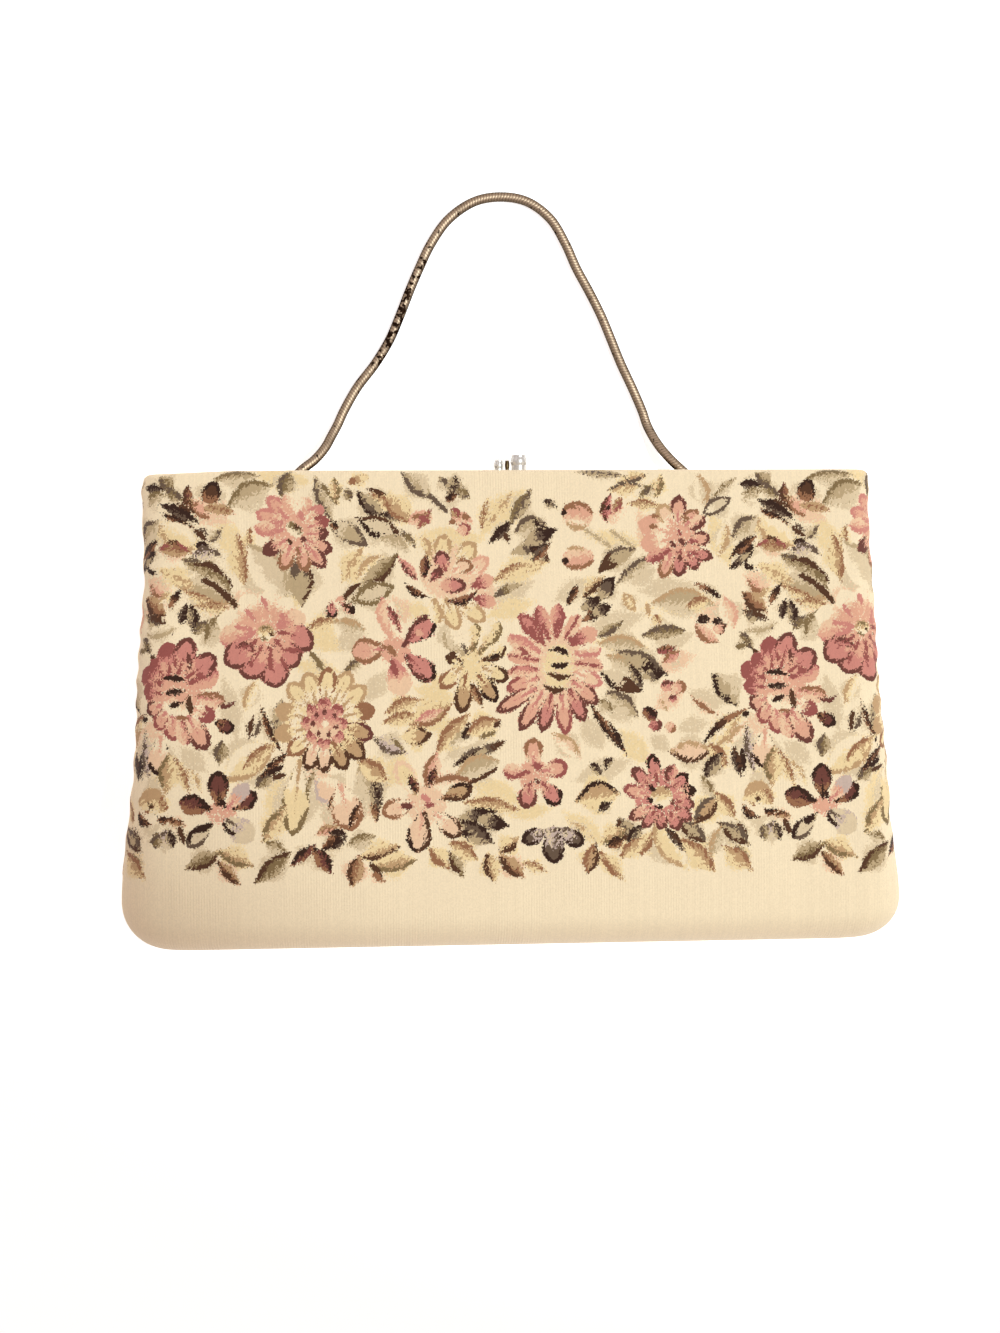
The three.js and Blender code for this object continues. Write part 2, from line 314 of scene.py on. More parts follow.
# The chain's route, as in the part's source
ROUTE = np.array([
    # across, up, lift
    (-65.8, 141.5, MOUTH_MIDDLE),
    (-62.7, 144.4, MOUTH_MIDDLE),
    (-59.3, 147.1, 7.1),
    (-56.1, 150.9, 5.1),
    (-54.1, 154.6, 3.1),
    (-52.1, 158.4, 1.8),
    (-50.4, 162.1, FLOOR_LEVEL),
    (-46.2, 169.4, FLOOR_LEVEL),
    (-40.6, 176.7, FLOOR_LEVEL),
    (-36.1, 184.0, FLOOR_LEVEL),
    (-32.9, 191.3, FLOOR_LEVEL),
    (-30.0, 198.6, FLOOR_LEVEL),
    (-26.8, 205.9, FLOOR_LEVEL),
    (-23.2, 213.2, FLOOR_LEVEL),
    (-17.7, 220.7, FLOOR_LEVEL),
    (-9.4, 226.2, FLOOR_LEVEL),
    (-1.0, ROUTE_TOP, FLOOR_LEVEL),
    (6.6, 226.0, FLOOR_LEVEL),
    (13.5, 220.9, FLOOR_LEVEL),
    (18.1, 213.4, FLOOR_LEVEL),
    (21.4, 206.1, FLOOR_LEVEL),
    (25.4, 198.8, FLOOR_LEVEL),
    (29.1, 191.5, FLOOR_LEVEL),
    (32.2, 184.1, FLOOR_LEVEL),
    (35.2, 176.8, FLOOR_LEVEL),
    (38.7, 169.4, FLOOR_LEVEL),
    (41.9, 162.0, FLOOR_LEVEL),
    (43.1, 158.3, 1.8),
    (44.8, 154.5, 3.1),
    (47.0, 150.7, 5.1),
    (49.9, 147.0, 7.1),
    (53.1, 143.8, MOUTH_MIDDLE),
    (56.3, 141.0, MOUTH_MIDDLE),
])

# Clasp knobs, and the stem between them in brass darkened as painted shade
TURNED_SIDES = 40
KNOB_STEPS = 18
KNOB_FOOT = 0.35
KNOB_NECK = (
    # share of the neck's radius, share of the foot's height
    (0.96, 0.0),
    (1.0, 0.08),
    (1.0, 0.55),
    (1.0, 1.0),
)
KNOB_CROWN = (0.22, 0.995)
KNOB_LEAN = 1.6
KNOB_UP = 142.5
KNOBS = (
    # name, node, across, side, neck, head, height
    ("knob_back", "clasp_knob_back", -3.15, -1, 1.25, 1.4, 4.4),
    ("knob_front", "clasp_knob_front", 2.7, 1, 2.2, 2.45, 5.9),
)
STEM_ACROSS = -0.7
STEM_WIDE = 0.55
STEM_HEAD = 0.68
STEM_HEIGHT = 4.3

# Camera, floor and lights
IMAGE_HEIGHT = 1333
FOCUS_PIXELS = 1935.6
SENSOR = 36.0
CAMERA_PLACE = (-43.2, 118.0 - ORIGIN_UP, 600.0)
CAMERA_TURN = {"X": -3.3, "Y": -3.86, "Z": -0.53}
CAMERA_NEAREST = 10.0
FLOOR_HALF = 24000.0
FLOOR_GLOW = 0.68
FLOOR_ROUGHNESS = 0.9
FLOOR_GRAIN_SCALE = 40.0
FLOOR_GRAIN_DETAIL = 3.0
FLOOR_SHADE = (0.92, 0.92, 0.92, 1.0)
FLOOR_PALE = (0.95, 0.95, 0.95, 1.0)
WHITE = (1.0, 1.0, 1.0, 1.0)
SKY_LIGHT = 0.39
SKY_COLOUR = (1.0, 0.78, 0.75, 1.0)
KEY_PLACE = (750.0, 120.0, 1700.0)
KEY_AIM = (150.0, 120.0, 0.0)
KEY_POWER = 97.0
KEY_COLOUR = (0.87, 0.985, 1.0)
KEY_WIDTH = 80.0
KEY_CONE = 22.2
KEY_BLEND = 0.3
FILL_PLACE = (-700.0, 500.0, 700.0)
FILL_AIM = (0.0, 0.0, 0.0)
FILL_POWER = 1.0
FILL_WIDTH = 700.0

# Charts of the woven flowers, in painting order: soft washes, leaves, grounds of the flower heads, petals and
# buds, and small marks over them. Each row is one shape, in millimetres on the flat cloth, with up to two
# edge threads, each followed by its place in the shape:
# x up tip_x tip_up wide bend form fill edge where edge where
WASHES = """
-80 120 -68 106 9 0 leaf pale
-96 108 -84 103 6 0 leaf pale
-109 95 -100 97 5 0 leaf pale
-93 92 -87 97 6 0 leaf pale
-86 82 -82 64 6 0 leaf pale
-99 62 -91 55 6 0 leaf pale
-44 75 -38 84 6 0 leaf pale
-40 123 -31 119 6 0 leaf pale
-23 92 -18 98 5 0 leaf pale
-21 58 -8 66 7 0 leaf pale
-8 104 6 110 7 0 leaf pale
12 104 24 111 6 0 leaf pale
22 95 39 100 7 0 leaf pale
35 109 43 114 6 0 leaf pale
38 107 52 109 6 0 leaf pale
42 91 54 94 6 0 leaf pale
26 76 34 68 6 0 leaf pale
20 70 26 60 7 0 leaf pale
17 51 34 57 7 0 leaf pale
52 77 62 72 6 0 leaf pale
48 66 58 68 5 0 leaf pale
40 64 46 60 5 0 leaf pale
65 65 71 53 6 0 leaf pale
-54 91 -44 95 6 0 leaf pale
-76 72 -70 63 5 0 leaf pale
-95 121 -87 119 5 0 leaf pale
-108 127 -92 121 8 0 leaf straw
-88 130 -80 116 7 0 leaf straw
-78 143 -60 140 6 0 leaf straw
-70 104 -60 108 6 0 leaf straw
-62 98 -52 90 8 0 leaf straw
-66 86 -52 84 5 0 leaf straw
-87 52 -72 63 9 0 leaf straw
-73 38 -69 55 6 0 leaf straw
-50 110 -38 118 8 0 leaf straw
-34 102 -24 101 5 0 leaf straw
-32 122 -8 123 8 0 leaf straw
-10 124 4 138 9 0 leaf straw
-6 110 10 118 8 0 leaf straw
-8 100 6 104 6 0 leaf straw
-38 50 -33 60 7 0 leaf straw
-14 51 2 45 7 0 leaf straw
-4 42 10 43 5 0 leaf straw
22 124 40 121 5 0 leaf straw
30 66 40 56 7 0 leaf straw
60 130 66 114 7 0 leaf straw
58 61 68 70 8 0 leaf straw
14 42 26 32 6 0 leaf straw
-30 79 -18 75 6 0 leaf straw
-24 84 -22 72 4 0 leaf straw
44 102 60 104 6 0 leaf straw
24 92 40 90 5 0 leaf straw
-96 134 -84 128 7 0 leaf peach
-110 112 -101 107 6 0 leaf peach
-90 101 -70 107 7 0 leaf peach
-36 106 -32 98 6 0 leaf peach
-62 62 -56 50 7 0 leaf peach
-58 50 -50 43 8 0 leaf peach
38 131 46 116 8 0 leaf peach
26 130 34 131 6 0 leaf peach
54 99 68 101 7 0 leaf peach
42 84 54 88 6 0 leaf peach
42 72 50 78 6 0 leaf peach
-12 112 -5 103 6 0 leaf peach
-110 70 -104 64 5 0 leaf peach
12 64 19 58 5 0 leaf peach
"""
LEAVES = """
-104.8 142.4 -101 139 3.4 0 leaf olive slate right
-103 138.4 -98.6 135.4 2.6 0 leaf olive slate left
-109.8 139.4 -104.2 138.8 2.4 0 leaf ink
-109 136.4 -103.6 137.2 2.2 0 leaf sage
-109.4 134 -105 135.4 2.4 0 leaf pale
-97 133.6 -96.6 139.2 2.4 0 leaf plum umber left
-91 133.4 -88.6 140.4 4.6 0 leaf umber ink rim
-96.6 135.6 -93 131 2.6 0 leaf rust umber right
-94.4 134.4 -90.4 129.6 3.8 0 leaf salmon rust right
-91.6 132.4 -83.4 131 2.4 .6 leaf rust tan right
-104.2 133.8 -94.6 128.8 2.8 .7 leaf ink
-103.6 131.2 -95.6 127.2 1.8 -.2 leaf umber ink left
-100 134.4 -95 131.6 1 .2 leaf umber
-107.4 128.6 -102.6 124.4 2.6 0 leaf tan
-104.6 127.8 -94.6 121 6.4 0 leaf straw tan right
-104.8 120.6 -96.4 119.6 3.4 .6 leaf rust wine left
-102.6 123 -99.4 121 1.8 .3 leaf rust
-94.6 126.6 -90.8 123.2 1.4 -.3 leaf umber
-93.2 126.8 -90.8 124.8 .9 0 leaf slate
-87 126.2 -90.4 122.4 2.2 0 leaf sage slate left
-94.2 121.8 -90.4 120.6 2.3 .2 leaf ink
-94.6 119 -88.6 119.8 3 0 leaf lilac
-89.4 120.4 -86.4 117.8 1.1 0 leaf slate
-97.8 117.4 -92 114.6 2.8 0 leaf olive slate left
-94.6 115.8 -87 111.8 3.8 .4 leaf olive umber left
-91.6 115.6 -84.4 109.6 1.2 1.2 bar umber
-91 113 -84.6 107.6 3 .6 leaf sage
-99 109.8 -83.8 104.4 5.6 1 leaf sage tan right
-91.8 110.8 -83.2 103.6 1.4 1 bar umber
-104.8 114.4 -95.2 109.4 3 .4 leaf tan straw left
-97.4 108.2 -89 104.8 1.8 -.3 leaf tan
-93.6 103.6 -84.4 102.4 2.2 .3 leaf tan
-108.4 110.2 -103.2 106.8 3.6 0 leaf salmon rust right
-109.8 106 -103.6 101.2 4.4 0 leaf rust umber right
-104.6 105 -101.4 107.4 2.4 0 leaf straw
-101.8 103 -98.6 108.4 1.7 .4 leaf umber ink tip
-97 103.9 -98.4 98.4 2 -.3 leaf ink
-96 103.8 -95.4 96.8 2.6 .6 leaf slate ink left
-109.8 100.8 -102.2 96.2 3.2 0 leaf slate umber left
-109 95.2 -101 97 3 0 leaf pale sage right
-94.8 95.6 -91.2 99 2.6 0 leaf olive slate left
-91.2 93.6 -87.4 100.4 3.4 0 leaf sage olive left
-110.4 93.4 -107.8 89.6 1.8 0 leaf slate ink right
-107.6 89.6 -105.4 86.6 1 0 leaf umber
-108.4 122.8 -109.4 115.8 3.6 0 leaf ink
-109.6 115 -106 113.4 1.2 -.3 leaf ink
-88.4 141 -76.4 141.8 3.2 .4 leaf sage olive left
-83.8 133.4 -72.4 138.8 5.6 .8 leaf sage olive left
-68.8 136.2 -66.6 143 3.8 0 leaf olive slate left
-58.6 140.8 -54.2 129.6 3.4 -.2 leaf sage slate right
-56.4 138.8 -52.4 133.6 1.1 0 bar olive
-81.8 123.2 -80 110.4 3.8 -.3 leaf tan rust left
-78.2 126 -79.6 118 1.8 0 leaf tan
-78 120.4 -68 107 8 0 leaf pale sage left
-63.6 117.4 -63 104.2 6 0 leaf sage slate base umber left
-54.4 104.2 -54 99.6 2.5 0 petal rose ink rim
-60.6 97 -53.8 99.2 2.8 0 leaf tan
-60.4 89 -57 83.6 1.3 .6 bar olive
-53.4 141 -52.4 134.4 2.2 0 leaf tan olive left
-48.8 140 -43 141.6 2.2 .2 leaf tan rust base
-49.8 138 -48.4 134.6 2.2 0 leaf olive
-42 136.4 -34 131.4 3.4 0 leaf tan
-45.8 136.8 -38.4 129.4 3.6 -.6 leaf slate ink right
-42.8 137.7 -36.4 134.2 1.4 .6 leaf umber
-39.8 129.8 -34.4 128.8 2.6 .3 leaf slate ink left
-38.4 135.6 -30.4 127.8 4.4 .3 leaf tan rust right
-45.4 128.8 -34.4 124.2 5.2 0 leaf pale ink right umber left
-54.6 127.6 -44.2 121.2 4.6 .6 leaf sage slate rim
-54 128.2 -52.6 125.8 1.6 0 leaf umber
-39.6 122.8 -31.6 119.4 5 0 leaf pale
-33.4 125.2 -29.4 120.8 1.6 .3 leaf olive
-50.6 111.2 -45.4 119.8 3.8 0 leaf tan straw left
-46 112 -40 117.6 3.6 0 leaf straw tan left
-45 109 -35.4 117.8 4.2 -.4 leaf olive umber right
-47.6 104.8 -36.4 108.6 5.2 0 leaf pale olive left olive right
-50.6 105.2 -46.4 109.2 1.3 .4 bar umber
-52.8 104.8 -50.4 103.6 2.6 0 oval peach
-51.4 103.8 -47.7 101.2 2.1 .2 petal salmon umber left ink tip
-39.2 104.8 -34.2 96.2 3.2 0 leaf rose wine right
-32.4 142.6 -24.4 135.4 3.8 -.2 leaf sage slate right
-25 136 -20 131.4 1.1 .2 bar slate
-21 138.2 -14 137 5 0 leaf pale
-19 136.2 -16.8 139.2 2.4 0 leaf slate ink tip
-16.6 137.6 -13 135.4 2.4 0 leaf slate olive left
-19.6 134.4 -16.6 136.6 2 0 leaf umber
-21.6 141 -19 137.8 2.2 0 leaf sage slate left
-17.6 141.6 -16 138.6 1.7 0 leaf slate
-9.2 126.4 -7.4 134.2 1.8 0 leaf tan
-7.2 127.4 -.8 135.8 2.4 0 leaf tan straw left
-6.4 122.2 -.4 128 2.4 0 leaf ink
-2.4 124.8 -1.2 121.8 1.3 0 leaf umber
-.2 128.2 5.4 137 3.2 0 leaf slate olive left
1.2 124.8 9.8 127 5 .8 leaf sage slate left
0.2 118.8 9.8 120.8 3.2 .4 leaf slate ink tip
-5.2 110.4 3.6 115.2 2.4 .6 leaf tan
2.4 113.4 10 115.8 2.4 .3 leaf tan straw right
-5.4 105.8 1.8 109.2 2 .4 leaf olive slate base
-53.2 98.8 -44.8 96.4 2.8 0 leaf sage tan left
-50.6 83.8 -45.4 87.6 1.8 0 leaf olive
4 121.6 12.6 125.4 4 .3 leaf slate ink tip
6.6 128.8 9.6 126.4 2 0 leaf slate ink right
6.8 119.6 10.4 116.4 2 0 leaf slate umber left
5.8 116.4 10.6 121 2 0 leaf umber slate left
9.4 134.4 13.2 132.4 1.6 0 leaf slate
20.4 142.9 33.8 141.6 2 .4 leaf slate sage right
30 137.4 38.8 138.4 2.8 .6 leaf tan slate left
34.4 140.2 40.6 142 2.2 .2 leaf tan slate right
38.8 135.4 42.6 138.8 2 0 leaf slate olive left
43.6 135.4 45.2 141.6 2.4 0 leaf tan olive right
35.8 133.2 44 132.6 2.2 .3 leaf tan
56.6 141.8 58.2 132.8 3.8 .3 leaf pale tan left
58.2 130 66 134.6 4 .3 leaf pale slate ring
61.4 135.4 67.8 140.8 1.7 0 leaf sage
62.6 118.2 64.8 126.8 3.2 0 leaf straw tan right
66.8 123 74 129 4.6 0 leaf sage slate left
66.4 117.4 73.6 123 2.2 .3 leaf umber ink left
65.8 113.8 71.4 118 1.8 0 leaf slate ink base
22 125.4 28.8 120.8 .8 0 bar sage
30.2 125 36.4 120.6 .8 -.3 bar sage
26.4 113 36.6 119.2 4.2 1.2 leaf sage slate left umber base
31.8 109.6 42.8 117.4 2.8 .6 leaf sage slate left
25.4 104.8 29.8 110.8 4 0 leaf slate ink rim
21.4 105.8 26.8 111 2.6 .4 leaf tan umber right
16.2 103.2 19.4 108.8 1.7 .2 leaf umber
20.4 101.8 25.6 105 3 0 leaf slate ink tip
20.8 98.6 25.6 100.8 2.2 0 leaf umber ink tip
23.8 100.4 28.8 102.6 3 0 leaf slate ink tip
33 106.2 36 101.2 2.8 .2 leaf straw tan ring
40.2 103.6 40.4 99.6 1.2 0 leaf tan
42 99.6 43.8 97.6 1.8 0 oval tan
42.8 103 59.2 102.8 5.4 1.6 leaf sage tan left
52.4 102.4 58.8 104.6 2.8 0 leaf tan
55 109 62.8 104.4 1.6 .5 leaf umber ink tip
63.4 104.8 66.2 96.4 4.4 0 leaf peach salmon left
25.2 93.6 31.8 97.6 2.4 0 leaf olive slate right
25.8 91.2 38.6 90 3.8 1 leaf sage tan left
38.8 93.6 50.6 95 3.2 .5 leaf olive slate left
42.6 89 48.2 90 2 0 leaf umber wine right
44.8 85.8 49.2 88.8 2.6 0 leaf rose rust left
66.4 90.2 70.2 90.6 1.5 0 leaf olive
68 94.2 70.8 91.4 2 0 leaf olive slate left
-111.4 69.8 -109.4 70.5 1.5 0 leaf ink
-110 66 -108.4 54 3 0 leaf lilac slate right
-104.6 64.8 -105.4 55.2 5.6 0 petal peach ink rim
-111.8 60 -111.2 53 1.5 0 leaf ink
-102.2 59.6 -103 49.6 4.4 0 leaf tan olive right
-100.4 58.8 -96.4 49.4 2 .2 leaf tan rust left
-96.8 55.8 -93 49.8 1.8 .2 leaf straw tan left
-87.4 57.8 -86.6 63.6 3.2 0 leaf olive slate left
-79.6 73.2 -76.4 80.8 3 .4 leaf straw tan left
-78.4 65 -77.4 70.8 1.3 .4 leaf umber
-77.6 65 -75.6 70 1.2 -.5 leaf slate
-74.6 72.8 -69.2 61.2 1.7 -.8 leaf umber
-71.2 66.4 -69.2 75.2 2.6 0 leaf slate sage right
-85.2 52.8 -72 62.2 7.2 .6 leaf straw tan right
-79.6 56.4 -71.4 62.6 2.8 .5 leaf tan rust left
-76.6 50.4 -72.4 54 3 0 leaf olive slate left
-74.8 53.4 -67.8 59.8 1.8 .3 leaf umber
-73.6 54.2 -68.8 56.6 1.5 -.2 leaf ink
-72.2 52.8 -68 54 1.5 0 leaf umber
-64 56.6 -66 38.4 6.2 0 petal straw olive rim
-61.8 48.4 -59.6 54.8 1.6 0 leaf sage olive left
-74.4 34.6 -68.2 44.2 3.4 .4 leaf tan olive left
-74 34.2 -68.2 31.4 2.4 .2 leaf sage
-58.8 52.2 -52.4 45.8 6.4 0 leaf peach lilac right
-55.4 44.2 -52 49.2 1.9 0 leaf rust
-110.9 45.2 -103.7 44.8 8.4 0 oval straw
-105.4 47.2 -103.6 43.8 2.6 0 oval tan
-111.6 43.4 -107.3 39.9 2 -1.3 leaf umber ink right
-107.8 46.2 -107.2 43.8 .9 0 leaf umber
-109.8 43.6 -108.4 43.2 .6 0 leaf rust
-105.6 42.2 -101.8 41.9 1.8 -1.2 leaf umber
-102.4 40.4 -97.8 39.6 1.8 .2 leaf rust umber left
-99.6 39.2 -98 34.2 1.4 .2 leaf umber
-105.4 36 -100.6 35.4 4 0 leaf lilac
-105.9 37.2 -105.6 33 2.4 0 leaf olive slate right
-102.4 37.8 -101 33.2 2.2 0 leaf slate ink left
-113.6 38 -111 32.6 2 0 leaf slate umber left
-114 31 -111 25 2.6 .3 leaf olive slate right
-96.6 27.2 -88 31 3.8 0 leaf olive umber right
-87.6 31.6 -78.4 27.6 3.6 .3 leaf tan olive right
-88 28.8 -82.2 22.4 2.6 0 leaf rust umber right
-76.4 23.2 -67.4 30.8 4 0 leaf olive umber left
-66.2 27.8 -60 33 2.6 0 leaf plum ink left
-60 32.2 -55.2 25.4 3.4 .3 leaf plum ink left
-58.8 36.6 -52.8 38.2 2.4 .4 leaf rust salmon right
-57.2 32.4 -52.2 36.6 2.8 -.4 leaf umber ink right
-37.8 71.8 -28.8 75.2 3.2 .6 leaf tan
-38.8 68.8 -29.8 70.8 2.6 .4 leaf tan
-30.6 68.6 -19.8 73.8 5.2 0 leaf tan rust right
-29 69.4 -22.4 72.2 2.4 0 leaf salmon
-33.2 64.6 -25.6 65 4.4 0 leaf tan umber rim
-41.4 64 -33 60.2 4 0 leaf lilac slate right
-36.8 64.4 -33.4 60.4 .8 0 leaf olive
-22.8 60.4 -14.4 70.2 4.2 .6 leaf tan rust left
-19 62.4 -10 66.4 4 0 leaf pale
-15.8 63.8 -13.6 67.2 2 0 leaf ink
-14.2 67 -14 68.6 .9 0 leaf umber
-13.8 65.4 -5.2 68.8 4.2 .6 leaf tan rust left
-6.6 67.2 -4.8 68.8 1.2 0 oval umber
-10.4 64.2 -6.6 65.6 1 0 bar olive
-17.8 56.4 -8.8 61.2 2.6 .3 leaf slate ink vein
-12 59.2 -3.8 62.8 2 0 leaf slate umber tip
-17.2 53.2 -5.8 57 5.2 .8 leaf sage tan left
-14.2 51.2 -6.8 54.8 1 -.5 bar umber
-24 51 -14.6 51.4 1.3 1.4 bar rust
-14.8 44.8 -.8 42.8 3.2 .8 leaf tan
-17.6 40.2 -7.4 42.6 3.2 0 leaf slate ink tip
-16.2 39.6 -7.8 33.8 4.6 -.6 leaf slate ink left
-11.2 40.6 -3.4 38.4 3.6 0 leaf slate ink tip
-17.2 36.6 -13.8 35.4 1.7 0 leaf ink
-49.6 33.4 -42.6 35.6 3.2 0 leaf sage
-45.6 29.6 -35.4 32.6 3.6 0 leaf tan umber right
-48.9 21.6 -46.8 29.6 3.8 0 leaf rust umber left
-42.6 26.4 -30.8 28.4 4.2 .4 leaf tan olive right
-43.6 27.8 -39.8 23.8 1.5 0 leaf umber
-43 25 -39.4 22.4 1.5 0 leaf rust
-25.8 31.8 -20.8 26.4 3.2 0 leaf tan rust right
-20 30.2 -16.4 23.8 2.8 0 leaf olive umber right
-19.8 33.2 -12.4 28.6 3.6 .3 leaf tan rust left
-5.2 30.6 -.2 34.6 3.2 0 leaf tan umber right
-8.8 29.8 -7 22.4 3.6 0 leaf tan umber right
-5 29.2 1.4 23.2 3.4 0 leaf rust umber right
1.4 27.2 8.2 24.6 1.8 .3 leaf tan
-52 50.4 -49 38.8 7.4 0 petal peach rust rim
-49.4 38.8 -46.6 45.2 1.7 0 leaf umber
-46.2 56.4 -41.4 43.4 5.2 .6 leaf sage slate left
-42.4 51.2 -41 43.2 2.6 0 leaf slate
-42.8 45.2 -41.4 40.4 1.7 0 leaf rust
-46.2 57.8 -38.8 51.8 4.6 0 leaf tan rust left
-55.2 36.8 -50.4 35.8 1.8 .6 leaf ink
-54.2 32.4 -50.8 35.2 1.6 0 leaf ink
24.8 74.8 28.6 71.6 2.6 0 leaf sage
27.4 76.8 36 70 4.2 .5 leaf sage slate left
22.8 72.8 32 60.2 2 -.4 leaf umber ink right
28 67.8 32 60.4 1.3 .2 leaf ink
28 87.6 37 83.6 3.4 .3 leaf sage tan left
26.2 83 37 77.8 4.2 -.6 leaf pale ink right umber tip
31.6 88.6 44.4 82.4 4.2 .6 leaf sage ink tip slate left
34.4 85 37.6 78.4 2.4 0 leaf slate ink left
38.4 81.6 44.4 82.6 2.8 0 leaf slate ink tip
53 75.6 60.2 70.2 1.2 -.6 leaf rust
59.8 81.6 66.2 73 5.2 .6 leaf sage ink right
60.4 60.8 67 69.2 3.2 .8 leaf straw tan right
63.8 61.8 68.8 67.2 2.6 0 leaf peach tan left
57 61.8 69.2 70.8 1.7 1.8 leaf umber ink base
46.6 59.4 57.6 59.6 5.2 -.3 leaf peach umber right tan left
58 61.2 62.6 54.8 3.6 0 leaf tan
56.4 51.8 61 58.2 3.6 0 leaf slate ink left
65 60.2 67 52.4 2.2 0 leaf ink umber left
18.4 45.2 29.8 47 6 1.2 leaf tan ink left
24.4 42.4 27.6 44.6 2.1 0 leaf ink
22.2 56.2 24.8 53.2 2.2 0 leaf slate
26.6 54.6 28.8 57.6 2 .6 leaf slate
30.2 39.6 33.8 33.4 4.2 0 leaf slate umber right
25.2 33.2 31.6 36.6 3.6 0 leaf tan olive right
26.8 31.8 31.2 33.8 2.6 0 leaf umber
32.8 32.8 37.2 37.6 2.6 .2 leaf slate
30.8 28.6 36.2 33.6 3.2 0 leaf tan rust left
36.4 29.2 39.8 35.6 3 0 leaf tan rust right
41.2 39 49.6 25.6 6.2 -.4 leaf straw tan right
44.4 37 52.2 28.8 1.9 -.3 leaf ink umber left
49.4 32.8 58.2 24.2 4.2 .4 leaf tan rust left
48.4 38.6 55.8 32.8 3.8 .2 leaf sage umber right slate left
53.2 38.6 59.8 45.6 4.2 0 leaf tan slate left umber right
55.4 51.6 59 45.8 2.2 0 leaf sage olive left
59.4 46.8 64.8 39.8 3 .3 leaf tan rust left
60.8 37.6 68.8 31.8 3.8 .3 leaf sage slate left umber right
62 30.8 69.4 24.4 3.8 .2 leaf tan rust left
57.4 28.4 60.6 36.6 2.8 0 leaf sage tan left
22.8 32 20.8 24.4 3.8 0 leaf tan umber left rust right
24.6 30 31 22.2 2.8 0 leaf tan rust right
16 39 22.4 34 1.4 .3 leaf straw tan left
11.4 64.6 18.8 58.2 3.6 .4 leaf peach tan left
"""
BLOOMS = """
-73 125.5 -57 125.5 15 0 oval salmon
-83 93 -63 93 19 0 oval salmon
-108 79 -92 79 18 0 oval salmon
-40 90 -31 90 8 0 oval salmon
-28 113 -11 113 16 0 oval peach
1 84.5 23 84.5 24 0 oval peach
12.4 78 13.2 91.4 8.6 0 oval straw
-68 68.5 -45 68.5 23 0 oval straw
-33 45 -21 45 11 0 oval peach
0.5 53 9.5 53 9 0 oval salmon
35 46 51 46 16 0 oval rose
43 121 57 121 14 0 oval salmon
-19 86 -7 86 11 0 oval straw
-91 43 -83 43 6 0 oval salmon
"""
